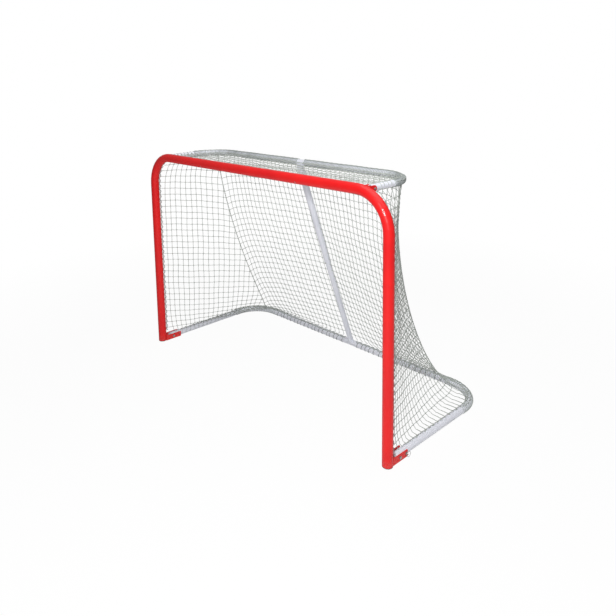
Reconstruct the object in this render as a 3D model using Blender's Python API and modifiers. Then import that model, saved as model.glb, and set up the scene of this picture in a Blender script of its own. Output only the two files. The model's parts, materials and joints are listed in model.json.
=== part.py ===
# Folding steel street hockey goal: red front frame, white base and top frames,
# telescopic centre stay and a four-panel net. Metres, +Z up, +X to the right,
# +Y from the mouth to the back. Origin: centre of the footprint, on the floor.

import math

import bmesh
import bpy
from mathutils import Matrix, Vector

# Front frame
MOUTH_WIDTH = 1.8288
MOUTH_HEIGHT = 1.2192
POST_RADIUS = 0.0254
POST_WALL = 0.0016
CORNER_RADIUS = 0.18
POST_JOINT_HEIGHT = 0.851
POST_SLEEVE_LENGTH = 0.12
CROSSBAR_SLEEVE_LENGTH = 0.84
SLEEVE_WALL = 0.0014
PLUG_FLANGE = 0.003
PLUG_DEPTH = 0.028

# Base frame, which lies on the floor
BASE_DEPTH = 0.830
BASE_HALF_WIDTH = MOUTH_WIDTH / 2 + POST_RADIUS - 0.0048
BASE_RADIUS = 0.019
BASE_WALL = 0.0015
BASE_BEND = 0.19
BASE_SLEEVE_LENGTH = 0.22

# Top frame, behind the crossbar
TOP_DEPTH = 0.406
TOP_HALF_WIDTH = MOUTH_WIDTH / 2 + POST_RADIUS - 0.1398
TOP_RADIUS = 0.016
TOP_WALL = 0.0014
TOP_BEND = 0.19
TOP_SLEEVE_LENGTH = 0.16

# Foot brackets, with the pivot bolts of the base frame and its pull pins
BRACKET_THICKNESS = 0.0045
BRACKET_BOTTOM = 0.001
BRACKET_TOP = 0.0345
BRACKET_START = 0.012
BRACKET_LENGTH = 0.125
BRACKET_CORNER = 0.003
SIDE_PLAY = 0.0007
PIVOT_Y = 0.068
PIVOT_BOLT_RADIUS = 0.004
PIVOT_HEAD_RADIUS = 0.0075
LOCK_Y = 0.113
PIN_RADIUS = 0.004
PIN_PLAY = 0.0003
PIN_FLANGE_RADIUS = 0.007
PIN_FLANGE_THICKNESS = 0.002
PIN_HEAD_RADIUS = 0.0035
PIN_HEAD_LENGTH = 0.009
PIN_EYE_RADIUS = 0.0018
RING_RADIUS = 0.0125
RING_WIRE = 0.001

# Lugs on the crossbar, with the hinge bolts of the top frame
LUG_THICKNESS = 0.0035
LUG_PIVOT_Y = 0.052
LUG_RADIUS = 0.015
LUG_PLATE = 0.003
BOLT_RADIUS = 0.003
BOLT_HEAD_RADIUS = 0.0055
BOLT_HEAD_HEIGHT = 0.004
TUBE_END_REACH = 0.012

# Centre stay, which telescopes as the goal folds
STAY_UPPER_RADIUS = 0.019
STAY_UPPER_WALL = 0.0015
STAY_LOWER_RADIUS = 0.0167
STAY_LOWER_WALL = 0.0015
STAY_COLLAR_LENGTH = 0.022
STAY_COLLAR_WALL = 0.0025
STAY_HEAD_LENGTH = 0.036
STAY_TONGUE_THICKNESS = 0.008
STAY_TONGUE_WIDTH = 0.046
STAY_FOOT_LENGTH = 0.09
STAY_FOLDED_CLEARANCE = 0.008
STAY_UPPER_START = 0.64
CRADLE_THICKNESS = 0.003
CRADLE_LENGTH = 0.056

# Net
NET_THICKNESS = 0.003
NET_PLAY = 0.0006
SEAM_PULL_IN = 0.186
SEAM_PULL_FORWARD = 0.235
TOP_NET_SAG = 0.012
BACK_OPENINGS = 12
SIDE_OPENINGS = 6
HEIGHT_OPENINGS = 9
TOP_OPENINGS = 3
NET_BAR = 0.008

# Fits and facets
GAP = 0.0003
POST_SIDES = 24
TUBE_SIDES = 20
BEND_STEPS = 10

# Rivets of the crossbar's inner sleeve and of the post joints
RIVET_INSET = 0.03
RIVET_ANGLE = -30
RIVET_SHANK_RADIUS = 0.0016
RIVET_HEAD_RADIUS = 0.0036
RIVET_HEAD_HEIGHT = 0.0012
RIVET_LENGTH = 0.0045
RIVET_OFFSET = 0.035

POST_X = MOUTH_WIDTH / 2 + POST_RADIUS
CROSSBAR_Z = MOUTH_HEIGHT + POST_RADIUS
POST_Y = -(BASE_DEPTH + BASE_RADIUS - POST_RADIUS) / 2
BASE_Y = POST_Y + BASE_DEPTH
TOP_Y = POST_Y + TOP_DEPTH
BASE_PIVOT = Vector((0, POST_Y + PIVOT_Y, BASE_RADIUS))
BASE_LOCK = Vector((0, POST_Y + LOCK_Y, BASE_RADIUS))
TOP_PIVOT = Vector((0, POST_Y + LUG_PIVOT_Y, CROSSBAR_Z))
STAY_FOOT = Vector((0, BASE_Y, BASE_RADIUS))
TOP_REAR = Vector((0, TOP_Y, CROSSBAR_Z))

# The stay runs from the rear base tube past the front of the rear top tube,
# so that its axis misses that tube's centre by part of the cradle and half the tongue.
STAY_OFFSET = TOP_RADIUS + GAP + 0.4 * CRADLE_THICKNESS + STAY_TONGUE_THICKNESS / 2
STAY_SPAN = (TOP_REAR - STAY_FOOT).length
STAY_ANGLE = math.atan2(CROSSBAR_Z - BASE_RADIUS, TOP_Y - BASE_Y) + math.asin(STAY_OFFSET / STAY_SPAN)
STAY_AXIS = Vector((0, math.cos(STAY_ANGLE), math.sin(STAY_ANGLE)))
STAY_REACH = math.sqrt(STAY_SPAN ** 2 - STAY_OFFSET ** 2)
STAY_UPPER_END = STAY_REACH - STAY_HEAD_LENGTH
STAY_TRAVEL = STAY_REACH - BASE_DEPTH + PIVOT_Y - STAY_FOLDED_CLEARANCE
STAY_LOWER_LENGTH = STAY_UPPER_END - STAY_TRAVEL - 0.002


def clear_scene():
    for old in list(bpy.data.objects):
        bpy.data.objects.remove(old, do_unlink=True)
    for group in list(bpy.data.collections):
        bpy.data.collections.remove(group)


def new_collection(name):
    group = bpy.data.collections.new(name)
    bpy.context.scene.collection.children.link(group)
    return group


clear_scene()
PARTS = new_collection("folding_hockey_goal")
CUTTERS = new_collection("cutters")


def make_material(name, color, roughness, metallic):
    material = bpy.data.materials.new(name)
    material.use_nodes = True
    shader = material.node_tree.nodes["Principled BSDF"]
    shader.inputs["Base Color"].default_value = (*color, 1)
    shader.inputs["Roughness"].default_value = roughness
    shader.inputs["Metallic"].default_value = metallic
    return material


def make_empty(name, place):
    empty = bpy.data.objects.new(name, None)
    empty.empty_display_size = 0.1
    empty.location = place
    PARTS.objects.link(empty)
    return empty


def hang_on(piece, empty):
    piece.parent = empty
    piece.matrix_parent_inverse = Matrix.Translation(empty.location).inverted()


def evaluated_mesh(piece):
    bpy.context.view_layer.update()
    graph = bpy.context.evaluated_depsgraph_get()
    return bpy.data.meshes.new_from_object(piece.evaluated_get(graph))


def as_mesh(piece):
    """Replace a curve by the mesh that it makes, with its caps welded on."""
    mesh = evaluated_mesh(piece)
    shape = bmesh.new()
    shape.from_mesh(mesh)
    bmesh.ops.remove_doubles(shape, verts=shape.verts, dist=0.00001)
    shape.to_mesh(mesh)
    shape.free()
    name = piece.name
    place = piece.matrix_world.copy()
    group = piece.users_collection[0]
    bpy.data.objects.remove(piece, do_unlink=True)
    solid = bpy.data.objects.new(name, mesh)
    solid.matrix_world = place
    group.objects.link(solid)
    return solid


def finish(piece, material, empty=None, angle=35):
    piece.data.materials.clear()
    piece.data.materials.append(material)
    piece.data.shade_smooth()
    piece.data.set_sharp_from_angle(angle=math.radians(angle))
    if empty:
        hang_on(piece, empty)
    return piece


def path_curve(name, points, radius, sides, caps=False):
    data = bpy.data.curves.new(name, "CURVE")
    data.dimensions = "3D"
    data.twist_mode = "MINIMUM"
    data.bevel_depth = radius
    data.bevel_resolution = (sides - 4) // 2
    data.use_fill_caps = caps
    spline = data.splines.new("POLY")
    spline.points.add(len(points) - 1)
    for target, point in zip(spline.points, points):
        target.co = (*point, 1)
    piece = bpy.data.objects.new(name, data)
    PARTS.objects.link(piece)
    return piece


def tube(name, points, radius, wall, sides):
    """A hollow tube along a path, open at both ends."""
    piece = as_mesh(path_curve(name, points, radius, sides))
    shell = piece.modifiers.new("wall", "SOLIDIFY")
    shell.thickness = wall
    shell.offset = -1
    shell.use_even_offset = True
    return piece


def bore_fit(radius, wall, sides):
    """The largest radius that still clears the bore of a faceted tube."""
    return radius * math.cos(math.pi / sides) - wall - GAP


def bent_points(start, corner, end, radius, steps):
    """Start, an arc that rounds the corner, and the end."""
    toward_start = (Vector(start) - Vector(corner)).normalized()
    toward_end = (Vector(end) - Vector(corner)).normalized()
    centre = Vector(corner) + radius * (toward_start + toward_end)
    points = [Vector(start)]
    for step in range(steps + 1):
        turn = step / steps * math.pi / 2
        points.append(centre - radius * (math.cos(turn) * toward_end + math.sin(turn) * toward_start))
    points.append(Vector(end))
    return points


def axis_matrix(place, axis):
    """Puts a shape's local +Z along an axis."""
    turn = Vector((0, 0, 1)).rotation_difference(Vector(axis))
    return Matrix.Translation(place) @ turn.to_matrix().to_4x4()


def side_matrix(x, origin=(0, 0, 0), along=(0, 1, 0), up=(0, 0, 1)):
    """Puts a flat outline's local X along one direction, local Y along another."""
    first = Vector(along)
    second = Vector(up)
    third = first.cross(second)
    turn = Matrix((first, second, third)).transposed().to_4x4()
    return Matrix.Translation(Vector(origin) + Vector((x, 0, 0))) @ turn


def lathe(name, profile, steps, place, axis):
    """Turn a closed profile of (radius, height) points, outer side top to bottom."""
    shape = bmesh.new()
    rim = [shape.verts.new((radius, 0, height)) for radius, height in profile]
    for first, second in zip(rim, rim[1:]):
        shape.edges.new((first, second))
    mesh = bpy.data.meshes.new(name)
    shape.to_mesh(mesh)
    shape.free()
    piece = bpy.data.objects.new(name, mesh)
    piece.matrix_world = axis_matrix(place, axis)
    PARTS.objects.link(piece)
    turn = piece.modifiers.new("turn", "SCREW")
    turn.axis = "Z"
    turn.angle = 2 * math.pi
    turn.steps = steps
    turn.render_steps = steps
    turn.use_merge_vertices = True
    turn.merge_threshold = 0.00005
    turn.use_normal_calculate = False
    return piece


def plate(name, outlines, thickness, matrix, resolution=6):
    """A flat plate from closed outlines; each is a list of points or a circle (x, y, radius)."""
    data = bpy.data.curves.new(name, "CURVE")
    data.dimensions = "2D"
    data.fill_mode = "BOTH"
    data.extrude = thickness / 2
    data.resolution_u = resolution
    for outline in outlines:
        spline = data.splines.new("POLY")
        spline.points.add(len(outline) - 1)
        for target, (x, y) in zip(spline.points, outline):
            target.co = (x, y, 0, 1)
        spline.use_cyclic_u = True
    piece = bpy.data.objects.new(name, data)
    piece.matrix_world = matrix
    PARTS.objects.link(piece)
    return as_mesh(piece)


def circle(x, y, radius, steps=16):
    turns = [2 * math.pi * step / steps for step in range(steps)]
    return [(x + radius * math.cos(turn), y + radius * math.sin(turn)) for turn in turns]


def arc(x, y, radius, first, last, steps):
    """Points of an arc between two angles in degrees."""
    angles = [math.radians(first + (last - first) * step / steps) for step in range(steps + 1)]
    return [(x + radius * math.cos(angle), y + radius * math.sin(angle)) for angle in angles]


def box(name, low, high):
    bpy.ops.mesh.primitive_cube_add(size=1)
    piece = bpy.context.object
    for group in piece.users_collection:
        group.objects.unlink(piece)
    PARTS.objects.link(piece)
    piece.name = name
    size = Vector(high) - Vector(low)
    middle = (Vector(high) + Vector(low)) / 2
    piece.data.transform(Matrix.Translation(middle) @ Matrix.Diagonal((*size, 1)))
    return piece


def rod(name, place, axis, radius, length, sides=16):
    """A solid cylinder whose middle is at place."""
    bpy.ops.mesh.primitive_cylinder_add(vertices=sides, radius=radius, depth=length)
    piece = bpy.context.object
    for group in piece.users_collection:
        group.objects.unlink(piece)
    PARTS.objects.link(piece)
    piece.name = name
    piece.data.transform(axis_matrix(place, axis))
    return piece


def as_cutter(piece):
    for group in piece.users_collection:
        group.objects.unlink(piece)
    CUTTERS.objects.link(piece)
    piece.hide_render = True
    piece.display_type = "WIRE"
    return piece


def combine(piece, other, operation="DIFFERENCE"):
    change = piece.modifiers.new(other.name, "BOOLEAN")
    change.operation = operation
    change.solver = "EXACT"
    change.object = as_cutter(other)
    return piece


RED = make_material("red_paint", (0.80, 0.02, 0.02), 0.25, 0.0)
WHITE = make_material("white_paint", (0.78, 0.80, 0.86), 0.30, 0.0)
BLACK = make_material("black_plastic", (0.02, 0.02, 0.022), 0.55, 0.0)
PALE = make_material("white_plastic", (0.72, 0.73, 0.77), 0.45, 0.0)
ZINC = make_material("zinc_plate", (0.62, 0.62, 0.60), 0.35, 1.0)
NET = make_material("white_net", (0.82, 0.83, 0.81), 0.90, 0.0)

BASE_AXIS = make_empty("base_fold_axis", BASE_PIVOT)
TOP_AXIS = make_empty("top_fold_axis", TOP_PIVOT)
STAY_FOLD_AXIS = make_empty("stay_fold_axis", STAY_FOOT)
STAY_SLIDE_AXIS = make_empty("stay_slide_axis", STAY_FOOT + STAY_UPPER_START * STAY_AXIS)

SIDES = {"left": -1, "right": 1}


# Front frame

def rivet_profile():
    """A blind rivet: domed head outside, shank through both tube walls."""
    return [
        (0, RIVET_HEAD_HEIGHT),
        (0.6 * RIVET_HEAD_RADIUS, 0.75 * RIVET_HEAD_HEIGHT),
        (RIVET_HEAD_RADIUS, 0.1 * RIVET_HEAD_HEIGHT),
        (RIVET_HEAD_RADIUS, 0),
        (RIVET_SHANK_RADIUS, 0),
        (RIVET_SHANK_RADIUS, -RIVET_LENGTH),
        (0, -RIVET_LENGTH),
    ]


def rivet_placements():
    """Crossbar rivets on the lower front of the tube, post rivets on the outer rear."""
    turn = math.radians(RIVET_ANGLE)
    out = Vector((0, -math.cos(turn), math.sin(turn)))
    middle = Vector((0, POST_Y, CROSSBAR_Z))
    places = []
    for name, side in SIDES.items():
        along_bar = Vector((side * (CROSSBAR_SLEEVE_LENGTH / 2 - RIVET_INSET), 0, 0))
        places.append((f"{name}_crossbar_rivet", middle + along_bar + (POST_RADIUS + GAP) * out, out))
        back = Vector((side, 1, 0)).normalized()
        for level, offset in (("lower", -RIVET_OFFSET), ("upper", RIVET_OFFSET)):
            joint = Vector((side * POST_X, POST_Y, POST_JOINT_HEIGHT + offset))
            places.append((f"{name}_post_rivet_{level}", joint + (POST_RADIUS + GAP) * back, back))
    return places


def drill_for_rivets(piece, label, tests):
    """Drill only the rivets whose place passes the test."""
    for name, place, axis in rivet_placements():
        if tests(place):
            hole_radius = RIVET_SHANK_RADIUS + PIN_PLAY
            combine(piece, rod(f"{label}_hole_for_{name}", place, axis, hole_radius, 3 * RIVET_LENGTH, 10))


def upper_frame_path(side):
    """From the post joint up, round the corner and along to the middle of the crossbar."""
    x = side * POST_X
    start = (x, POST_Y, POST_JOINT_HEIGHT + GAP / 2)
    end = (side * GAP / 2, POST_Y, CROSSBAR_Z)
    return bent_points(start, (x, POST_Y, CROSSBAR_Z), end, CORNER_RADIUS, BEND_STEPS)


def front_frame():
    sleeve_radius = bore_fit(POST_RADIUS, POST_WALL, POST_SIDES)
    for name, side in SIDES.items():
        x = side * POST_X
        low = Vector((x, POST_Y, PLUG_FLANGE + GAP))
        joint = Vector((x, POST_Y, POST_JOINT_HEIGHT))
        high = joint - Vector((0, 0, GAP / 2))
        post = tube(f"{name}_lower_post", [low, high], POST_RADIUS, POST_WALL, POST_SIDES)
        drill_for_rivets(post, post.name, lambda p: abs(p.x - x) < POST_RADIUS and p.z < POST_JOINT_HEIGHT)
        finish(post, RED)

        upper = tube(f"{name}_upper_frame", upper_frame_path(side), POST_RADIUS, POST_WALL, POST_SIDES)
        drill_for_rivets(upper, upper.name, lambda p: p.x * side > 0 and p.z > POST_JOINT_HEIGHT)
        finish(upper, RED)

        half = Vector((0, 0, POST_SLEEVE_LENGTH / 2))
        ends = [joint - half, joint + half]
        sleeve = tube(f"{name}_post_sleeve", ends, sleeve_radius, SLEEVE_WALL, POST_SIDES)
        drill_for_rivets(sleeve, sleeve.name, lambda p: abs(p.x - x) < POST_RADIUS)
        finish(sleeve, ZINC)

        inner = sleeve_radius
        profile = [
            (0, PLUG_DEPTH), (inner - 0.002, PLUG_DEPTH), (inner, PLUG_DEPTH - 0.003),
            (inner, PLUG_FLANGE), (POST_RADIUS - 0.0002, PLUG_FLANGE), (POST_RADIUS - 0.0002, 0.001),
            (POST_RADIUS - 0.001, 0), (0, 0),
        ]
        plug = lathe(f"{name}_foot_plug", profile, POST_SIDES, (x, POST_Y, 0), (0, 0, 1))
        finish(plug, BLACK)

    half = Vector((CROSSBAR_SLEEVE_LENGTH / 2, 0, 0))
    middle = Vector((0, POST_Y, CROSSBAR_Z))
    sleeve = tube("crossbar_sleeve", [middle - half, middle + half], sleeve_radius, SLEEVE_WALL, POST_SIDES)
    drill_for_rivets(sleeve, sleeve.name, lambda p: p.z > MOUTH_HEIGHT)
    finish(sleeve, ZINC)
    for name, place, axis in rivet_placements():
        finish(lathe(name, rivet_profile(), 10, place, axis), ZINC)


# Foot brackets: two cheeks on a plate welded to the back of each post, open at the top

def foot_bracket(name, side):
    x = side * BASE_HALF_WIDTH
    inner_half = BASE_RADIUS + SIDE_PLAY
    front = POST_Y + BRACKET_START
    corner_y = POST_Y + BRACKET_LENGTH - BRACKET_CORNER
    outline = [(front, BRACKET_BOTTOM)]
    outline += arc(corner_y, BRACKET_BOTTOM + BRACKET_CORNER, BRACKET_CORNER, -90, 0, 4)
    outline += arc(corner_y, BRACKET_TOP - BRACKET_CORNER, BRACKET_CORNER, 0, 90, 4)
    outline += [(front, BRACKET_TOP)]
    holes = [
        circle(BASE_PIVOT.y, BASE_RADIUS, PIVOT_BOLT_RADIUS + PIN_PLAY),
        circle(BASE_LOCK.y, BASE_RADIUS, PIN_RADIUS + PIN_PLAY),
    ]
    cheek_x = inner_half + BRACKET_THICKNESS / 2
    cheeks = []
    for cheek_name, cheek_side in SIDES.items():
        matrix = side_matrix(x + cheek_side * cheek_x)
        label = f"{name}_foot_bracket" if cheek_name == "left" else f"{name}_bracket_cheek"
        cheeks.append(plate(label, [outline] + holes, BRACKET_THICKNESS, matrix))
    reach = inner_half + BRACKET_THICKNESS
    back = POST_Y + POST_RADIUS + GAP
    web = box(
        f"{name}_bracket_web",
        (x - reach, back - 0.002, BRACKET_BOTTOM - 0.0002),
        (x + reach, back + BRACKET_THICKNESS, BRACKET_TOP + 0.0002))
    bracket = cheeks[0]
    combine(bracket, web, "UNION")
    combine(bracket, cheeks[1], "UNION")
    cope = rod(
        f"{name}_bracket_cope", (side * POST_X, POST_Y, BRACKET_TOP), (0, 0, 1),
        POST_RADIUS + GAP, 0.12, 32)
    combine(bracket, cope)
    finish(bracket, RED)
    middle = Vector((x, 0, 0)) + BASE_PIVOT
    cross_bolt(f"{name}_pivot_bolt", middle, side, reach, PIVOT_BOLT_RADIUS, PIVOT_HEAD_RADIUS)
    return reach


def cross_bolt(name, place, side, reach, radius, head_radius):
    """A bolt across two cheeks, with a round head outside each."""
    tip = reach + GAP
    end = tip + BOLT_HEAD_HEIGHT
    profile = [
        (0, end), (head_radius - 0.001, end), (head_radius, end - 0.001), (head_radius, tip),
        (radius, tip), (radius, -tip), (head_radius, -tip), (head_radius, -end), (0, -end),
    ]
    finish(lathe(name, profile, 12, place, (side, 0, 0)), ZINC)


def pull_pin(name, side, reach):
    """A pin through the outer cheek that ends just before the tube's side."""
    x = side * BASE_HALF_WIDTH
    empty = make_empty(f"{name}_pin_axis", Vector((x, 0, 0)) + BASE_LOCK)
    flange_bottom = reach + GAP
    flange_top = flange_bottom + PIN_FLANGE_THICKNESS
    head_top = flange_top + PIN_HEAD_LENGTH
    nose_end = BASE_RADIUS + GAP
    profile = [
        (0, head_top), (PIN_HEAD_RADIUS - 0.001, head_top), (PIN_HEAD_RADIUS, head_top - 0.001),
        (PIN_HEAD_RADIUS, flange_top), (PIN_FLANGE_RADIUS, flange_top), (PIN_FLANGE_RADIUS, flange_bottom),
        (PIN_RADIUS, flange_bottom), (PIN_RADIUS, nose_end + 0.002), (PIN_RADIUS - 0.0015, nose_end),
        (0, nose_end),
    ]
    out = Vector((side, 0, 0))
    pin = lathe(f"{name}_pull_pin", profile, 16, empty.location, out)
    eye = empty.location + (flange_top + PIN_HEAD_LENGTH / 2) * out
    drop = (BASE_RADIUS - RING_RADIUS - RING_WIRE - GAP) / RING_RADIUS
    lean = math.asin(drop)
    toward_ring = Vector((0, math.cos(lean), -math.sin(lean)))
    hole_axis = Vector((0, math.sin(lean), math.cos(lean)))
    combine(pin, rod(f"{name}_pin_eye", eye, hole_axis, PIN_EYE_RADIUS, 0.012, 14))
    finish(pin, ZINC, empty)

    ring_axis = make_empty(f"{name}_ring_axis", eye)
    bpy.ops.mesh.primitive_torus_add(
        major_segments=28, minor_segments=8, major_radius=RING_RADIUS, minor_radius=RING_WIRE)
    ring = bpy.context.object
    for group in ring.users_collection:
        group.objects.unlink(ring)
    PARTS.objects.link(ring)
    ring.name = f"{name}_pull_ring"
    ring.data.transform(axis_matrix(eye + RING_RADIUS * toward_ring, out))
    finish(ring, ZINC, ring_axis)


def top_lug(name, side):
    x = side * TOP_HALF_WIDTH
    inner_half = TOP_RADIUS + SIDE_PLAY
    front = POST_Y + BRACKET_START
    outline = [(front, CROSSBAR_Z - LUG_RADIUS)]
    outline += arc(TOP_PIVOT.y, CROSSBAR_Z, LUG_RADIUS, -90, 90, 8)
    outline += [(front, CROSSBAR_Z + LUG_RADIUS)]
    bolt_hole = circle(TOP_PIVOT.y, CROSSBAR_Z, BOLT_RADIUS + PIN_PLAY)
    ear_x = inner_half + LUG_THICKNESS / 2
    lug = plate(f"{name}_top_lug", [outline, bolt_hole], LUG_THICKNESS, side_matrix(x - ear_x))
    other = plate(f"{name}_lug_ear", [outline, bolt_hole], LUG_THICKNESS, side_matrix(x + ear_x))
    reach = inner_half + LUG_THICKNESS
    back = POST_Y + POST_RADIUS + GAP
    bridge = box(
        f"{name}_lug_bridge",
        (x - reach, back - 0.002, CROSSBAR_Z - LUG_RADIUS - 0.0002),
        (x + reach, back + LUG_PLATE, CROSSBAR_Z + LUG_RADIUS + 0.0002))
    combine(lug, bridge, "UNION")
    combine(lug, other, "UNION")
    cope_radius = (POST_RADIUS + GAP) / math.cos(math.pi / POST_SIDES)
    cope = path_curve(f"{name}_lug_cope", upper_frame_path(side), cope_radius, POST_SIDES, True)
    combine(lug, as_mesh(cope))
    finish(lug, RED)

    middle = Vector((x, 0, 0)) + TOP_PIVOT
    cross_bolt(f"{name}_top_hinge_bolt", middle, side, reach, BOLT_RADIUS, BOLT_HEAD_RADIUS)


def round_off_end(piece, label, x, pivot, radius):
    """Round a tube's front end about its cross hole, as seen from the side, and drill that hole."""
    middle = Vector((x, pivot.y, pivot.z))
    reach = radius + 0.01
    near = middle + Vector((-reach, -0.06, -reach))
    far = middle + Vector((reach, 0, reach))
    nose = box(f"{label}_nose_cut", near, far)
    combine(nose, rod(f"{label}_nose_round", middle, (1, 0, 0), radius - 0.0002, 4 * reach, 40))
    combine(piece, nose)
    return middle


# Base and top frames: two bent halves each, joined by a sleeve inside the rear tube

def u_frame(label, half_width, rear_y, pivot, radius, wall, bend,
            centre_gap, sleeve_length, holes, empty):
    start_y = pivot.y - radius
    for name, side in SIDES.items():
        x = side * half_width
        height = pivot.z
        path = bent_points(
            (x, start_y, height), (x, rear_y, height), (side * centre_gap / 2, rear_y, height),
            bend, BEND_STEPS)
        half = tube(f"{label}_{name}_tube", path, radius, wall, TUBE_SIDES)
        middle = round_off_end(half, half.name, x, pivot, radius)
        for hole_name, offset, hole_radius in holes:
            place = middle + Vector((0, offset, 0))
            combine(half, rod(f"{half.name}_{hole_name}", place, (1, 0, 0), hole_radius, 4 * radius, 16))
        finish(half, WHITE, empty)
    length = Vector((sleeve_length / 2, 0, 0))
    rear = Vector((0, rear_y, pivot.z))
    sleeve_radius = bore_fit(radius, wall, TUBE_SIDES)
    ends = [rear - length, rear + length]
    sleeve = tube(f"{label}_rear_sleeve", ends, sleeve_radius, SLEEVE_WALL, TUBE_SIDES)
    finish(sleeve, ZINC, empty)
    return sleeve_radius


def base_end_plug(name, side, radius):
    """A round-nosed plastic plug in the base tube's mouth, bored for the pivot bolt."""
    x = side * BASE_HALF_WIDTH
    start = BASE_PIVOT.y - BASE_RADIUS
    length = 0.045
    plug = rod(
        f"base_{name}_end_plug", (x, start + length / 2, BASE_RADIUS), (0, 1, 0), radius, length, TUBE_SIDES)
    middle = round_off_end(plug, plug.name, x, BASE_PIVOT, BASE_RADIUS)
    combine(plug, rod(f"{plug.name}_cross_hole", middle, (1, 0, 0), PIVOT_BOLT_RADIUS + PIN_PLAY, 0.08, 16))
    finish(plug, PALE, BASE_AXIS)


def base_frame():
    holes = [
        ("pivot_hole", 0, PIVOT_BOLT_RADIUS + PIN_PLAY),
        ("lock_hole", LOCK_Y - PIVOT_Y, PIN_RADIUS + PIN_PLAY),
    ]
    u_frame(
        "base", BASE_HALF_WIDTH, BASE_Y, BASE_PIVOT, BASE_RADIUS, BASE_WALL, BASE_BEND,
        STAY_FOOT_LENGTH + 2 * GAP, BASE_SLEEVE_LENGTH, holes, BASE_AXIS)
    for name, side in SIDES.items():
        base_end_plug(name, side, bore_fit(BASE_RADIUS, BASE_WALL, TUBE_SIDES))


def top_frame():
    holes = [("pivot_hole", 0, BOLT_RADIUS + PIN_PLAY)]
    u_frame(
        "top", TOP_HALF_WIDTH, TOP_Y, TOP_PIVOT, TOP_RADIUS, TOP_WALL, TOP_BEND,
        GAP, TOP_SLEEVE_LENGTH, holes, TOP_AXIS)


# Centre stay

def along_stay(distance, sideways=0.0):
    return STAY_FOOT + distance * STAY_AXIS + Vector((sideways, 0, 0))


def stay_foot():
    """A barrel that turns on the base frame's rear sleeve, with a bead at each end."""
    bore = bore_fit(BASE_RADIUS, BASE_WALL, TUBE_SIDES) + GAP
    outer = BASE_RADIUS - 0.0002
    half = STAY_FOOT_LENGTH / 2
    bead = 0.006
    waist = outer - 0.0007
    profile = [
        (outer, half), (outer, half - bead), (waist, half - bead - 0.001), (waist, bead + 0.001 - half),
        (outer, bead - half), (outer, -half), (bore, -half), (bore, half), (outer, half),
    ]
    foot = lathe("stay_foot_barrel", profile, TUBE_SIDES, STAY_FOOT, (1, 0, 0))
    finish(foot, WHITE, STAY_FOLD_AXIS)


def stay_lower_tube():
    """The inner tube, coped at its lower end to sit on the barrel."""
    piece = tube(
        "stay_lower_tube", [along_stay(0.004), along_stay(STAY_LOWER_LENGTH)],
        STAY_LOWER_RADIUS, STAY_LOWER_WALL, TUBE_SIDES)
    combine(piece, rod("stay_cope", STAY_FOOT, (1, 0, 0), BASE_RADIUS, 0.08, 32))
    finish(piece, WHITE, STAY_FOLD_AXIS)


def stay_upper_tube():
    piece = tube(
        "stay_upper_tube", [along_stay(STAY_UPPER_START), along_stay(STAY_UPPER_END - GAP)],
        STAY_UPPER_RADIUS, STAY_UPPER_WALL, TUBE_SIDES)
    finish(piece, WHITE, STAY_SLIDE_AXIS)
    top = along_stay(STAY_UPPER_START - GAP)
    inner = STAY_LOWER_RADIUS + GAP
    outer = inner + STAY_COLLAR_WALL
    profile = [
        (outer - 0.0008, 0), (outer, -0.0015), (outer, 0.0015 - STAY_COLLAR_LENGTH),
        (outer - 0.0008, -STAY_COLLAR_LENGTH), (inner, -STAY_COLLAR_LENGTH), (inner, 0), (outer - 0.0008, 0),
    ]
    collar = lathe("stay_collar", profile, TUBE_SIDES, top, STAY_AXIS)
    finish(collar, WHITE, STAY_SLIDE_AXIS)


def section(distance, half_width, half_depth, power, count):
    """A ring of points round the stay's axis: an ellipse at power 2, squarer above."""
    depth_axis = Vector((0, STAY_AXIS.z, -STAY_AXIS.y))
    ring = []
    for step in range(count):
        turn = 2 * math.pi * (step + 0.5) / count
        across = math.copysign(abs(math.cos(turn)) ** (2 / power), math.cos(turn))
        deep = math.copysign(abs(math.sin(turn)) ** (2 / power), math.sin(turn))
        ring.append(along_stay(distance, half_width * across) + half_depth * deep * depth_axis)
    return ring


def stay_head():
    """The stay's end, pressed from a round tube into a flat tongue, with the cradle on its back."""
    stations = []
    steps = 7
    for step in range(steps + 1):
        share = step / steps
        ease = share * share * (3 - 2 * share)
        distance = STAY_UPPER_END + share * 0.72 * STAY_HEAD_LENGTH
        width = STAY_UPPER_RADIUS + ease * (STAY_TONGUE_WIDTH / 2 - STAY_UPPER_RADIUS)
        depth = STAY_UPPER_RADIUS + ease * (STAY_TONGUE_THICKNESS / 2 - STAY_UPPER_RADIUS)
        stations.append((distance, width, depth, 2 + 3 * ease))
    stations.append((STAY_REACH, STAY_TONGUE_WIDTH / 2, STAY_TONGUE_THICKNESS / 2, 5))
    count = TUBE_SIDES
    shape = bmesh.new()
    rings = [[shape.verts.new(point) for point in section(*station, count)] for station in stations]
    for lower, upper in zip(rings, rings[1:]):
        for step in range(count):
            after = (step + 1) % count
            shape.faces.new((lower[step], lower[after], upper[after], upper[step]))
    shape.faces.new(list(reversed(rings[0])))
    shape.faces.new(rings[-1])
    bmesh.ops.recalc_face_normals(shape, faces=shape.faces)
    mesh = bpy.data.meshes.new("stay_head")
    shape.to_mesh(mesh)
    shape.free()
    head = bpy.data.objects.new("stay_head", mesh)
    PARTS.objects.link(head)

    inner = TOP_RADIUS + GAP
    outer = inner + CRADLE_THICKNESS
    straight_up = math.degrees(STAY_ANGLE)
    first = straight_up + 90 - 10
    last = 275
    outline = arc(0, 0, inner, first, last, 8) + arc(0, 0, outer, last, first, 8)
    cradle = plate("stay_cradle", [outline], CRADLE_LENGTH, side_matrix(0, TOP_REAR))
    combine(head, cradle, "UNION")
    combine(head, rod("cradle_bore", TOP_REAR, (1, 0, 0), inner, 0.12, 40))
    finish(head, WHITE, STAY_SLIDE_AXIS)


# Net: four thin panels whose corners are pulled inwards by the lacing

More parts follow.
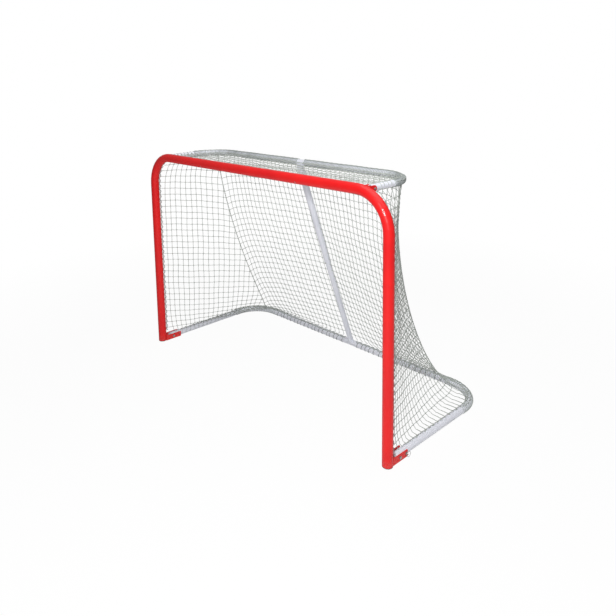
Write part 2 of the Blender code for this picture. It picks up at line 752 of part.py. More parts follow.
def seam_point(share):
    """Right-hand seam between side and back net, from the top frame's corner (0) to the base frame's (1)."""
    top = top_corner_point(45, NET_DROP)
    foot = base_corner_point(80, NET_RISE)
    pull = share ** 0.9 * (1 - share) ** 0.35
    point = top.lerp(foot, share)
    return point - pull * Vector((SEAM_PULL_IN, SEAM_PULL_FORWARD, 0))


NET_HALF = NET_THICKNESS / 2 + NET_PLAY
NET_RISE = BASE_RADIUS + NET_HALF
NET_DROP = -TOP_RADIUS - NET_HALF


def top_corner_point(degrees, rise):
    """A point above or below the top frame's bend, 0 degrees at the side tube."""
    turn = math.radians(degrees)
    centre_x = TOP_HALF_WIDTH - TOP_BEND
    centre_y = TOP_Y - TOP_BEND
    return Vector((
        centre_x + TOP_BEND * math.cos(turn), centre_y + TOP_BEND * math.sin(turn), CROSSBAR_Z + rise))


def base_corner_point(degrees, rise):
    turn = math.radians(degrees)
    centre_x = BASE_HALF_WIDTH - BASE_BEND
    centre_y = BASE_Y - BASE_BEND
    return Vector((
        centre_x + BASE_BEND * math.cos(turn), centre_y + BASE_BEND * math.sin(turn), BASE_RADIUS + rise))


def run_then_bend(start_y, corner_point, last_degrees, share, rise):
    """Walk from start_y along a side tube and round its bend, by share of the whole length."""
    straight_end = corner_point(0, rise)
    straight = straight_end.y - start_y
    bend_radius = BASE_BEND if corner_point is base_corner_point else TOP_BEND
    bend = bend_radius * math.radians(last_degrees)
    walked = share * (straight + bend)
    if walked <= straight:
        return Vector((straight_end.x, start_y + walked, straight_end.z))
    return corner_point(math.degrees((walked - straight) / bend_radius), rise)


def post_edge(share):
    """Front edge of the side net, up the back of the post and round the frame's corner."""
    y = POST_Y + POST_RADIUS + NET_PLAY
    low = BASE_RADIUS + NET_RISE
    bend_start = CROSSBAR_Z - CORNER_RADIUS
    reach = math.acos((TOP_HALF_WIDTH - POST_X + CORNER_RADIUS) / CORNER_RADIUS)
    total = bend_start - low + CORNER_RADIUS * reach
    walked = share * total
    if walked <= bend_start - low:
        return Vector((POST_X, y, low + walked))
    turn = (walked - bend_start + low) / CORNER_RADIUS
    x = POST_X - CORNER_RADIUS * (1 - math.cos(turn))
    z = bend_start + CORNER_RADIUS * math.sin(turn)
    return Vector((x, y, z))


def coons(front, back, low, high, across, up):
    """Blend four edge curves; across runs from front to back, up from low to high."""
    ruled = (1 - across) * front(up) + across * back(up)
    edges = (1 - up) * low(across) + up * high(across)
    corners = (1 - across) * (1 - up) * front(0) + across * (1 - up) * back(0)
    corners += (1 - across) * up * front(1) + across * up * back(1)
    return ruled + edges - corners


def side_net_point(across, up):
    front_y = POST_Y + POST_RADIUS + NET_PLAY

    def low(share):
        return run_then_bend(front_y, base_corner_point, 80, share, NET_RISE)

    def high(share):
        return run_then_bend(front_y, top_corner_point, 45, share, NET_DROP)

    return coons(post_edge, lambda share: seam_point(1 - share), low, high, across, up)


def rear_edge(share, corner_point, last_degrees, half_width, rear_y, bend, rise, back):
    """Along the rear tube from the centre (0) to the seam (1); back shifts the straight run rearwards."""
    straight = half_width - bend
    arc_length = bend * math.radians(90 - last_degrees)
    walked = share * (straight + arc_length)
    fade = 1 - share ** 4
    if walked <= straight:
        return Vector((walked, rear_y + back * fade, corner_point(90, rise).z))
    point = corner_point(90 - math.degrees((walked - straight) / bend), rise)
    return point + Vector((0, back * fade, 0))


def back_net_point(across, down):
    """Across from the centre (0) to the right seam (1), down from the top (0) to the base (1)."""
    slope = math.sqrt(0.5)
    top_shift = slope * (TOP_RADIUS + NET_HALF)
    base_shift = slope * (BASE_RADIUS + NET_HALF)
    seam = seam_point(down)
    centre_top = Vector((0, TOP_Y + top_shift, CROSSBAR_Z + NET_DROP))
    centre_foot = Vector((0, BASE_Y + base_shift, BASE_RADIUS + NET_RISE))
    centre = centre_top.lerp(centre_foot, down)
    tent = centre.lerp(seam, across)
    tent.y = centre.y + (seam.y - centre.y) * across ** 1.3
    top = rear_edge(across, top_corner_point, 45, TOP_HALF_WIDTH, TOP_Y, TOP_BEND, NET_DROP, top_shift)
    foot = rear_edge(across, base_corner_point, 80, BASE_HALF_WIDTH, BASE_Y, BASE_BEND, NET_RISE, base_shift)
    tent_top = centre_top.lerp(seam_point(0), across)
    tent_top.y = centre_top.y + (seam_point(0).y - centre_top.y) * across ** 1.3
    tent_foot = centre_foot.lerp(seam_point(1), across)
    tent_foot.y = centre_foot.y + (seam_point(1).y - centre_foot.y) * across ** 1.3
    return tent + (1 - down) ** 4 * (top - tent_top) + down ** 4 * (foot - tent_foot)


def top_net_point(across, back):
    """Across from -1 to 1, back from the crossbar (0) to the rear top tube (1)."""
    front_y = POST_Y + POST_RADIUS + NET_PLAY
    rear_y = TOP_Y - TOP_RADIUS - NET_PLAY
    y = front_y + back * (rear_y - front_y)
    inset = TOP_RADIUS + SIDE_PLAY + LUG_THICKNESS + GAP + BOLT_HEAD_HEIGHT + NET_PLAY
    inner_bend = TOP_BEND - inset
    centre_y = TOP_Y - TOP_BEND
    half = TOP_HALF_WIDTH - inset
    if y > centre_y:
        half -= inner_bend - math.sqrt(max(inner_bend ** 2 - (y - centre_y) ** 2, 0))
    sag = TOP_NET_SAG * math.sin(math.pi * back) * (1 - across ** 2)
    return Vector((across * half, y, CROSSBAR_Z - sag))


def bar_edge(line, openings, bar):
    """Share of the panel at which a line of the lattice lies; every second line starts an opening."""
    pitch = (1 - bar) / openings
    return min((line // 2) * pitch + (line % 2) * bar, 1)


def panel(name, point, columns, rows, column_bar, row_bar, low, high):
    """An open lattice of bars placed by a formula of two shares, thickened evenly."""
    shape = bmesh.new()
    across = 2 * columns + 1
    along = 2 * rows + 1
    bmesh.ops.create_grid(shape, x_segments=across, y_segments=along, size=0.5)
    openings = []
    for face in shape.faces:
        middle = face.calc_center_median()
        column = math.floor((middle.x + 0.5) * across)
        row = math.floor((middle.y + 0.5) * along)
        if column % 2 and row % 2:
            openings.append(face)
    bmesh.ops.delete(shape, geom=openings, context="FACES")
    for corner in shape.verts:
        first = bar_edge(round((corner.co.x + 0.5) * across), columns, column_bar)
        second = bar_edge(round((corner.co.y + 0.5) * along), rows, row_bar)
        corner.co = point(low[0] + first * (high[0] - low[0]), low[1] + second * (high[1] - low[1]))
    mesh = bpy.data.meshes.new(name)
    shape.to_mesh(mesh)
    shape.free()
    piece = bpy.data.objects.new(name, mesh)
    PARTS.objects.link(piece)
    thick = piece.modifiers.new("thickness", "SOLIDIFY")
    thick.thickness = NET_THICKNESS
    thick.offset = 0
    thick.use_even_offset = False
    return finish(piece, NET)


def nets():
    side_margin = 0.001
    back_margin = 0.0035
    side_bar = NET_BAR / (BASE_DEPTH - BASE_BEND)
    back_bar = NET_BAR / (2 * TOP_HALF_WIDTH)
    height_bar = NET_BAR / MOUTH_HEIGHT
    top_bar = NET_BAR / TOP_DEPTH
    for name, side in SIDES.items():
        def point(across, up, side=side):
            place = side_net_point(across, up)
            return Vector((side * place.x, place.y, place.z))
        panel(f"net_{name}", point, SIDE_OPENINGS, HEIGHT_OPENINGS, side_bar, height_bar,
              (0, 0), (1 - side_margin, 1))

    def back_point(across, down):
        place = back_net_point(abs(across), down)
        return Vector((math.copysign(place.x, across), place.y, place.z))
    panel("net_back", back_point, BACK_OPENINGS, HEIGHT_OPENINGS, back_bar, height_bar,
          (back_margin - 1, 0), (1 - back_margin, 1))
    panel("net_top", top_net_point, BACK_OPENINGS, TOP_OPENINGS, back_bar, top_bar, (-1, 0), (1, 1))


front_frame()
for side_name, side_sign in SIDES.items():
    bracket_reach = foot_bracket(side_name, side_sign)
    pull_pin(side_name, side_sign, bracket_reach)
    top_lug(side_name, side_sign)
base_frame()
top_frame()
stay_foot()
stay_lower_tube()
stay_upper_tube()
stay_head()
nets()
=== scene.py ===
import json

import bpy
import numpy as np
from mathutils import Matrix


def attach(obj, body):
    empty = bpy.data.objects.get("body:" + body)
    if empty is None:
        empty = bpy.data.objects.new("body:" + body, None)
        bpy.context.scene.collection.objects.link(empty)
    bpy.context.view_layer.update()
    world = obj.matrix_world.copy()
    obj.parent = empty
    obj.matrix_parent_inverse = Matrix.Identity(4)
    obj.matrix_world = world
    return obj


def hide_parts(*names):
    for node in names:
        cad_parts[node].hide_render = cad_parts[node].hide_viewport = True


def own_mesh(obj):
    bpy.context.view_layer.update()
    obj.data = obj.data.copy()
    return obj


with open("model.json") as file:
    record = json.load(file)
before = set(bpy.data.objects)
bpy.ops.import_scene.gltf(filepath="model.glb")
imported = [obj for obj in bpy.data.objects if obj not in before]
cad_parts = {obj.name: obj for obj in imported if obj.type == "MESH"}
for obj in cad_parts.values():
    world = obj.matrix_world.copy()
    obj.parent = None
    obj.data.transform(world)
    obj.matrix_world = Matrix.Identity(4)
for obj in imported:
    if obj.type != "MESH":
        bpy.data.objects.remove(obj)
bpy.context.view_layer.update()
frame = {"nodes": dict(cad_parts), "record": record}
print("frame loaded:", len(frame["nodes"]), "nodes")


# the frames' sizes, which the net, the lacing and the welds follow, in metres
goal = {
    "postX": 0.9398,        # middle of a post
    "postY": -0.4118,
    "postRadius": 0.0254,
    "barHeight": 1.2446,    # middle of the crossbar
    "cornerRadius": 0.18,   # of the front frame's middle line
    "baseHalf": 0.935,      # from the middle to the base frame's side tubes
    "baseRear": 0.4182,     # middle of its rear tube
    "baseRadius": 0.019,
    "baseBend": 0.19,
    "topHalf": 0.80,
    "topRear": -0.0058,
    "topRadius": 0.016,
    "topBend": 0.19,
    "jointHeight": 0.851,   # where a post's two tubes meet
    "bracketEnd": -0.2868,
    "lugPivotY": -0.3598,   # the top frame's hinge
}
# half the width, middle of the rear tube and radius of the bends
baseTube = goal["baseHalf"], goal["baseRear"], goal["baseBend"]
topTube = goal["topHalf"], goal["topRear"], goal["topBend"]


# mesh helpers

def unit(v):
    return v / np.maximum(np.linalg.norm(v, axis=-1, keepdims=True), 1e-12)


def wave(at, size, rate):
    # size times the sine of rate times at
    return size * np.sin(rate * at)


def objectFrom(name, points, quads, uv=None, smooth=True):
    # an object from points, the four corners of each face and each corner's place in the cord's UV map
    mesh = bpy.data.meshes.new(name)
    mesh.vertices.add(len(points))
    mesh.vertices.foreach_set("co", np.ascontiguousarray(points, np.float32).ravel())
    mesh.loops.add(quads.size)
    mesh.loops.foreach_set("vertex_index", quads.astype(np.int32).ravel())
    mesh.polygons.add(len(quads))
    mesh.polygons.foreach_set("loop_start", np.arange(0, quads.size, 4, dtype=np.int32))
    mesh.update(calc_edges=True)
    if uv is not None:
        layer = mesh.uv_layers.new(name="cordUv")
        layer.data.foreach_set("uv", np.ascontiguousarray(uv, np.float32).ravel())
    if smooth:
        mesh.shade_smooth()
    obj = bpy.data.objects.new(name, mesh)
    bpy.context.scene.collection.objects.link(obj)
    return obj


def lengthAlong(path):
    # each point's distance from the path's start
    step = np.linalg.norm(np.diff(path, axis=0), axis=1)
    return np.concatenate([[0], np.cumsum(step)])


def pointsAt(path, length, at):
    # the path's points at given distances from its start
    return np.stack([np.interp(at, length, path[:, n]) for n in range(3)], -1)


def sweep(path, facing, radius, sides=6, closed=False):
    # a ring of radius r carried along the path: p + r (cos a * side + sin a * up), side = tangent x facing,
    # where facing is any direction that the path doesn't take
    path = np.asarray(path, float)
    facing = np.broadcast_to(np.asarray(facing, float), path.shape)
    radius = np.broadcast_to(np.asarray(radius, float), (len(path),))
    if closed:
        tangent = unit(np.roll(path, -1, 0) - np.roll(path, 1, 0))
    else:
        tangent = unit(np.gradient(path, axis=0))
    side = unit(np.cross(tangent, facing))
    up = np.cross(side, tangent)
    angle = np.linspace(0, 2 * np.pi, sides, endpoint=False)
    ring = np.cos(angle)[None, :, None] * side[:, None] + np.sin(angle)[None, :, None] * up[:, None]
    points = (path[:, None] + radius[:, None, None] * ring).reshape(-1, 3)
    rows = len(path)
    j, s = np.broadcast_arrays(np.arange(rows if closed else rows - 1)[:, None], np.arange(sides)[None, :])
    corners = ((0, 1), (0, 0), (1, 0), (1, 1))
    quads = np.stack([(j + a) % rows * sides + (s + b) % sides for a, b in corners], -1).reshape(-1, 4)
    along = lengthAlong(path)
    if closed:
        along = np.append(along, along[-1] + np.linalg.norm(path[0] - path[-1]))
    uv = np.stack([np.stack([along[j + a], (s + b) / sides], -1) for a, b in corners], 2).reshape(-1, 4, 2)
    if not closed:
        cap = np.array([[0, n, n + 1, n + 2] for n in range(1, sides - 2, 2)])
        last = (rows - 1) * sides
        quads = np.concatenate([quads, cap, last + cap[:, ::-1]])
        uv = np.concatenate([uv, np.zeros((2 * len(cap), 4, 2))])
    return points, quads, uv


def joined(name, parts):
    # many swept pieces as one mesh
    points, quads, uvs = zip(*parts)
    starts = np.cumsum([0] + [len(p) for p in points[:-1]])
    quads = [q + start for q, start in zip(quads, starts)]
    return objectFrom(name, np.concatenate(points), np.concatenate(quads), np.concatenate(uvs))


def addPiece(name, parts, material, body):
    piece = joined(name, parts)
    piece.data.materials.append(material)
    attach(piece, body)


# materials

def nodeGroup(name, inputs, outputs):
    group = bpy.data.node_groups.new(name, "ShaderNodeTree")
    for label, kind, value in inputs:
        socket = group.interface.new_socket(name=label, in_out="INPUT", socket_type=kind)
        if value is not None:
            socket.default_value = value
    for label, kind in outputs:
        group.interface.new_socket(name=label, in_out="OUTPUT", socket_type=kind)
    return group, group.nodes.new("NodeGroupInput"), group.nodes.new("NodeGroupOutput")


def feed(tree, socket, value):
    # a number or a colour is set on the socket, another node's output is linked to it
    if isinstance(value, (int, float)):
        socket.default_value = value
    elif isinstance(value, tuple):
        socket.default_value = (*value, 1)
    else:
        tree.links.new(value, socket)


def mathNode(tree, operation, a, b=None, clamp=False):
    node = tree.nodes.new("ShaderNodeMath")
    node.operation = operation
    node.use_clamp = clamp
    feed(tree, node.inputs[0], a)
    if b is not None:
        feed(tree, node.inputs[1], b)
    return node.outputs[0]


def times(tree, a, b):
    return mathNode(tree, "MULTIPLY", a, b)


def noiseNode(tree, vector, scale, detail, roughness):
    node = tree.nodes.new("ShaderNodeTexNoise")
    for label, value in (("Vector", vector), ("Scale", scale), ("Detail", detail), ("Roughness", roughness)):
        feed(tree, node.inputs[label], value)
    return node.outputs["Fac"]


def rangeNode(tree, value, low, high, toLow=0.0, toHigh=1.0):
    node = tree.nodes.new("ShaderNodeMapRange")
    for label, given in (
            ("Value", value), ("From Min", low), ("From Max", high), ("To Min", toLow), ("To Max", toHigh)):
        feed(tree, node.inputs[label], given)
    return node.outputs["Result"]


def mixColour(tree, factor, a, b):
    node = tree.nodes.new("ShaderNodeMix")
    node.data_type = "RGBA"
    feed(tree, node.inputs["Factor"], factor)
    colourA, colourB = (socket for socket in node.inputs if socket.type == "RGBA")
    feed(tree, colourA, a)
    feed(tree, colourB, b)
    return next(socket for socket in node.outputs if socket.type == "RGBA")


def makePowderCoat():
    # powder coat: a fine orange peel height, a cloudy shade mask and a mask of sparse rubbed marks
    group, given, result = nodeGroup(
        "powderCoat",
        [("Vector", "NodeSocketVector", None), ("Peel Scale", "NodeSocketFloat", 420.0),
         ("Marks", "NodeSocketFloat", 0.3)],
        [("Height", "NodeSocketFloat"), ("Cloud", "NodeSocketFloat"), ("Rub", "NodeSocketFloat")])
    vector = given.outputs["Vector"]
    peel = noiseNode(group, vector, given.outputs["Peel Scale"], 2.0, 0.5)
    cloud = noiseNode(group, vector, 6.0, 4.0, 0.55)
    fine = noiseNode(group, vector, 60.0, 6.0, 0.7)
    patch = noiseNode(group, vector, 9.0, 2.0, 0.5)
    scratched = rangeNode(group, fine, 0.60, 0.72)
    marks = times(group, scratched, rangeNode(group, patch, 0.52, 0.66))
    group.links.new(peel, result.inputs["Height"])
    group.links.new(cloud, result.inputs["Cloud"])
    group.links.new(times(group, marks, given.outputs["Marks"]), result.inputs["Rub"])
    return group


def makeFloorDust():
    # dust that thins out with height above the ground: noise times 1 - z / reach
    group, given, result = nodeGroup(
        "floorDust",
        [("Vector", "NodeSocketVector", None), ("Reach", "NodeSocketFloat", 0.06)],
        [("Dust", "NodeSocketFloat")])
    split = group.nodes.new("ShaderNodeSeparateXYZ")
    group.links.new(given.outputs["Vector"], split.inputs[0])
    rise = mathNode(group, "DIVIDE", split.outputs["Z"], given.outputs["Reach"])
    ramp = mathNode(group, "SUBTRACT", 1.0, rise, clamp=True)
    speck = rangeNode(group, noiseNode(group, given.outputs["Vector"], 140.0, 5.0, 0.65), 0.42, 0.7)
    group.links.new(times(group, ramp, speck), result.inputs["Dust"])
    return group


powderCoat = makePowderCoat()
floorDust = makeFloorDust()


def newMaterial(name):
    material = bpy.data.materials.new(name)
    material.use_nodes = True
    tree = material.node_tree
    where = tree.nodes.new("ShaderNodeTexCoord").outputs["Object"]
    return material, tree, tree.nodes["Principled BSDF"], where


def placeGroup(tree, group, vector, values):
    node = tree.nodes.new("ShaderNodeGroup")
    node.node_tree = group
    tree.links.new(vector, node.inputs["Vector"])
    for label, value in values.items():
        node.inputs[label].default_value = value
    return node


def bump(tree, shader, height, strength, distance):
    node = tree.nodes.new("ShaderNodeBump")
    node.inputs["Strength"].default_value = strength
    node.inputs["Distance"].default_value = distance
    tree.links.new(height, node.inputs["Height"])
    tree.links.new(node.outputs["Normal"], shader.inputs["Normal"])


paintWear = {
    "dust": (0.42, 0.38, 0.33),
    "dustCover": 0.35,      # how much of the dust's colour shows
    "dustRough": 0.25,      # what dust, rubbed marks and the cloud each add to the roughness
    "rubRough": 0.35,
    "cloudRough": 0.06,
    "peelDepth": 0.0004,
}


def makePaint(name, look):
    # powder coat on steel: two close shades in a slow cloud, rubbed marks, and dust near the ground
    material, tree, shader, where = newMaterial(name)
    coat = placeGroup(tree, powderCoat, where, {"Peel Scale": look["peel"], "Marks": look["marks"]})
    dust = placeGroup(tree, floorDust, where, {"Reach": look["dustReach"]}).outputs["Dust"]
    cloud, rub = coat.outputs["Cloud"], coat.outputs["Rub"]
    shade = mixColour(tree, rangeNode(tree, cloud, 0.3, 0.7), look["dark"], look["light"])
    rubbed = mixColour(tree, rub, shade, look["rubbed"])
    cover = times(tree, dust, paintWear["dustCover"])
    tree.links.new(mixColour(tree, cover, rubbed, paintWear["dust"]), shader.inputs["Base Color"])
    clean = rangeNode(tree, cloud, 0.3, 0.7, look["rough"], look["rough"] + paintWear["cloudRough"])
    worn = mathNode(tree, "ADD", clean, times(tree, rub, paintWear["rubRough"]))
    rough = mathNode(tree, "ADD", worn, times(tree, dust, paintWear["dustRough"]))
    tree.links.new(rough, shader.inputs["Roughness"])
    shader.inputs["Specular IOR Level"].default_value = look["specular"]
    shader.inputs["Coat Weight"].default_value = look["coat"]
    shader.inputs["Coat Roughness"].default_value = look["coatRough"]
    bump(tree, shader, coat.outputs["Height"], look["bump"], paintWear["peelDepth"])
    return material


redLook = {
    "light": (0.86, 0.010, 0.010), "dark": (0.76, 0.006, 0.008), "rubbed": (0.60, 0.03, 0.03),
    "rough": 0.42, "specular": 0.32, "coat": 0.16, "coatRough": 0.08,
    "peel": 380.0, "marks": 0.35, "bump": 0.06, "dustReach": 0.05,
}
whiteLook = {
    "light": (0.86, 0.88, 0.95), "dark": (0.80, 0.82, 0.90), "rubbed": (0.58, 0.58, 0.60),
    "rough": 0.34, "specular": 0.5, "coat": 0.30, "coatRough": 0.18,
    "peel": 420.0, "marks": 0.45, "bump": 0.06, "dustReach": 0.045,
}
redPaint = makePaint("redPaint", redLook)
whitePaint = makePaint("whitePaint", whiteLook)


def makeZinc(look):
    # zinc plate: a blotchy grey, with fine spangle in its roughness and height
    material, tree, shader, where = newMaterial("zincPlate")
    spangle = noiseNode(tree, where, look["spangle"], 3.0, 0.6)
    cloud = noiseNode(tree, where, look["cloud"], 4.0, 0.6)
    colour = mixColour(tree, rangeNode(tree, cloud, 0.35, 0.65), look["dark"], look["light"])
    tree.links.new(colour, shader.inputs["Base Color"])
    tree.links.new(rangeNode(tree, spangle, 0.3, 0.7, *look["rough"]), shader.inputs["Roughness"])
    shader.inputs["Metallic"].default_value = 1.0
    bump(tree, shader, spangle, 0.08, 0.0002)
    return material


plasticWear = {
    "grain": 900.0,         # noise scales
    "cloud": 30.0,
    "dustReach": 0.02,
    "dustCover": 0.3,
    "grainRough": 0.12,     # what the grain adds to the roughness
}


def makePlastic(name, look):
    # moulded plastic: two close shades in a slow cloud, a fine grain, and dust near the ground
    material, tree, shader, where = newMaterial(name)
    grain = noiseNode(tree, where, plasticWear["grain"], 2.0, 0.5)
    cloud = noiseNode(tree, where, plasticWear["cloud"], 3.0, 0.5)
    dust = placeGroup(tree, floorDust, where, {"Reach": plasticWear["dustReach"]}).outputs["Dust"]
    colour = mixColour(tree, rangeNode(tree, cloud, 0.3, 0.7), look["dark"], look["light"])
    cover = times(tree, dust, plasticWear["dustCover"])
    tree.links.new(mixColour(tree, cover, colour, look["dust"]), shader.inputs["Base Color"])
    rough = rangeNode(tree, grain, 0.3, 0.7, look["rough"], look["rough"] + plasticWear["grainRough"])
    tree.links.new(rough, shader.inputs["Roughness"])
    bump(tree, shader, grain, 0.2, 0.0002)
    return material


cordWear = {
    "cloud": 14.0,          # noise scales
    "fuzz": 900.0,
    "fuzzHeight": 0.4,
    # the groove amount is how strongly painted shade darkens the cord between two strands
    "grooveShade": 0.55,         # how much of the groove's colour shows between two strands
    "rough": (0.78, 0.95),
    "sheen": 0.15,
    "bump": 0.5,
    "depth": 0.0005,
}


def makeCord(name, look):
    # a laid cord: stripes as the sine of 2 pi (turns u + strands v), u along the cord in metres and v round it,
    # darker where the sine is low: painted shade in the grooves between the strands
    material, tree, shader, where = newMaterial(name)
    split = tree.nodes.new("ShaderNodeSeparateXYZ")
    tree.links.new(where.node.outputs["UV"], split.inputs[0])
    lay = times(tree, split.outputs["X"], look["turns"])
    around = times(tree, split.outputs["Y"], look["strands"])
    phase = times(tree, mathNode(tree, "ADD", lay, around), 2 * np.pi)
    strand = rangeNode(tree, mathNode(tree, "SINE", phase), -1.0, 1.0)
    cloud = noiseNode(tree, where, cordWear["cloud"], 4.0, 0.6)
    fuzz = noiseNode(tree, where, cordWear["fuzz"], 2.0, 0.6)
    base = mixColour(tree, rangeNode(tree, cloud, 0.35, 0.65), look["dark"], look["light"])
    # painted shade in the grooves between the strands, darkest where the sine is low
    grooveShade = times(tree, mathNode(tree, "SUBTRACT", 1.0, strand), cordWear["grooveShade"])
    tree.links.new(mixColour(tree, grooveShade, base, look["grooveShade"]), shader.inputs["Base Color"])
    tree.links.new(rangeNode(tree, fuzz, 0.3, 0.7, *cordWear["rough"]), shader.inputs["Roughness"])
    shader.inputs["Sheen Weight"].default_value = cordWear["sheen"]
    height = mathNode(tree, "ADD", strand, times(tree, fuzz, cordWear["fuzzHeight"]))
    bump(tree, shader, height, cordWear["bump"], cordWear["depth"])
    return material


zincPlate = makeZinc({
    "light": (0.52, 0.53, 0.50), "dark": (0.34, 0.35, 0.33), "rough": (0.28, 0.46),
    "spangle": 260.0, "cloud": 40.0})
blackPlastic = makePlastic("blackPlastic", {
    "light": (0.03, 0.03, 0.032), "dark": (0.016, 0.016, 0.018), "dust": (0.3, 0.27, 0.24), "rough": 0.5})
whitePlastic = makePlastic("whitePlastic", {
    "light": (0.72, 0.73, 0.77), "dark": (0.64, 0.65, 0.69), "dust": (0.4, 0.37, 0.33), "rough": 0.4})
# each cord's groove colour is the painted shade between its strands
netCord = makeCord("netCord", {
    "turns": 120.0, "strands": 3.0,
    "light": (0.60, 0.64, 0.60), "dark": (0.50, 0.54, 0.50), "grooveShade": (0.22, 0.25, 0.22)})
laceCord = makeCord("laceCord", {
    "turns": 150.0, "strands": 3.0,
    "light": (0.66, 0.67, 0.66), "dark": (0.52, 0.53, 0.51), "grooveShade": (0.16, 0.16, 0.15)})
wrapCord = makeCord("wrapCord", {
    "turns": 140.0, "strands": 3.0,
    "light": (0.40, 0.43, 0.42), "dark": (0.31, 0.34, 0.33), "grooveShade": (0.13, 0.15, 0.14)})

slotMaterials = {
    "red_paint": redPaint, "white_paint": whitePaint, "zinc_plate": zincPlate, "black_plastic": blackPlastic,
    "white_plastic": whitePlastic, "white_net": netCord,
}
# each CAD node takes the material of its slot in the record
for entry in frame["record"]["subparts"]:
    node = frame["nodes"][entry["node"]]
    node.data.materials.clear()
    node.data.materials.append(slotMaterials[entry["material_slot"]])
print("materials made")


# net: two side panels, a back and a roof of square mesh, whose cords follow curved surfaces

net = {
    "column": 0.0345,       # width of a mesh opening
    "rows": 30,             # mesh openings from the roof to the base frame
    "backColumns": 21,      # mesh openings from the middle of the back to the seam
    "roofColumns": 22,      # cords from the middle of the roof to each side
    "cord": 0.00135,        # radius of the cord
    "knot": 1.6,            # how much thicker it is at a crossing
    "knotSide": 1.25,       # and just beside it
    "ringShares": (0.0, 0.09, 0.3, 0.5, 0.7, 0.91),  # its mesh's rings from one crossing to the next
    "slack": 0.0016,        # how far it weaves in and out between crossings
    "weave": 2.1,           # turn of that weave from ring to ring, radians
    "uneven": 0.0011,       # size of the slow waves that make the mesh look hand laced
    "sideWaves": 0.7,       # where those waves start on each panel
    "backWaves": 1.9,
    "roofWaves": 3.1,
    "edge": 0.0021,         # radius of the cord round each panel
    "shortest": 0.02,       # shorter columns are left out
    "frontGap": 0.003,      # from the posts to the side panels and the roof
    "roofGap": 0.003,       # from the top frame's side tubes to the roof
    "roofRearGap": 0.002,
    "roofSag": 0.018,
    "seamTopAngle": 49,     # where the corner seam ends on the frames' bends, degrees from straight outwards
    "seamFootAngle": 45,
    "seamIn": 0.272,        # how far the seam is pulled in and forward, and by which powers of s and 1 - s
    "seamInPowers": (0.91, 0.20),
    "seamForward": 0.298,
    "seamForwardPowers": (0.83, 0.79),
    "seamLay": 0.024,       # one turn of its two cords
    "seamTurn": 0.0019,
    "seamCord": 0.0014,
    "droop": 0.046,         # how far the rows hang down at the seam
    "flare": 0.04,          # how far they sink above the base tube at most, and where
    "flareRise": 0.2,
    "sideLowPower": 17,     # powers of the height share by which a panel leaves the tubes
    "sideHighPower": 8,
    "backLowPower": 14,
    "backHighPower": 6,
    "bracketClear": 0.035,  # how far the side panels' front corner is pushed back over the foot bracket
    "bracketRise": 0.07,
    "bracketShare": 0.18,
    "bracketStart": 0.03,
    "bendShare": 0.98,      # how far into a bend the panels follow the tubes
    "tubeSide": 0.707,      # sine of 45 degrees: the back meets the rear tubes there
    "backHollow": 0.03,     # how far the back panel's middle line curves forward
    "backCurve": 1.3,       # power by which it comes forward to the seam
    "backFall": 0.12,       # share of the width over which its rows fall to the seam
}

netTopZ = goal["barHeight"] - goal["topRadius"] - net["edge"]
netLowZ = 2 * goal["baseRadius"] + net["edge"]
netHeight = netTopZ - netLowZ
rowPitch = netHeight / net["rows"]
frontY = goal["postY"] + goal["postRadius"] + net["frontGap"]


def bendPoint(half, rear, bend, degrees):
    # where a frame's rear bend is at an angle: middle of the bend plus (cos, sin) times its radius
    turn = np.radians(degrees)
    return np.array([half - bend + bend * np.cos(turn), rear - bend + bend * np.sin(turn)])


seamTop = bendPoint(*topTube, net["seamTopAngle"])
seamFoot = bendPoint(*baseTube, net["seamFootAngle"])


def heightShare(z):
    # 0 at the base frame and 1 at the top frame
    return np.clip((z - netLowZ) / netHeight, 0, 1)


def seamAt(z):
    # straight from the top bend to the base bend, s going from 0 to 1, then pulled in and forward by
    # s^p (1 - s)^q of each amount
    s = np.clip((netTopZ - z) / netHeight, 0, 1)
    (inP, inQ), (forwardP, forwardQ) = net["seamInPowers"], net["seamForwardPowers"]
    x = seamTop[0] + s * (seamFoot[0] - seamTop[0]) - net["seamIn"] * s ** inP * (1 - s) ** inQ
    y = seamTop[1] + s * (seamFoot[1] - seamTop[1]) - net["seamForward"] * s ** forwardP * (1 - s) ** forwardQ
    return x, y


def hangAt(z):
    # how far a row hangs at the seam: droop (1 - |2 v - 1|^5), all of it in the middle, none at roof and base
    return net["droop"] * (1 - np.abs(2 * heightShare(z) - 1) ** 5)


def flareAt(z):
    # how far a row sinks where the panel slants out to the base tube: flare t e^(1 - t), t = rise / flareRise
    t = np.clip(z - netLowZ, 0, None) / net["flareRise"]
    return net["flare"] * t * np.exp(1 - t)


def droopAt(z):
    return hangAt(z) + flareAt(z)


def postXAt(z):
    # upright, then the quarter circle of the frame's corner
    start = goal["barHeight"] - goal["cornerRadius"]
    rise = np.clip((z - start) / goal["cornerRadius"], 0, 1)
    return goal["postX"] - goal["cornerRadius"] * (1 - np.sqrt(1 - rise ** 2))


def tubeXAt(y, half, rear, bend):
    # x of a side tube at y, through its rear bend
    into = np.clip((y - (rear - bend)) / bend, 0, net["bendShare"])
    return half - bend * (1 - np.sqrt(1 - into ** 2))


def tubeYAt(x, half, rear, bend):
    # y of a rear tube at x, through its bend
    into = np.clip((np.abs(x) - (half - bend)) / bend, 0, net["bendShare"])
    return rear - bend * (1 - np.sqrt(1 - into ** 2))


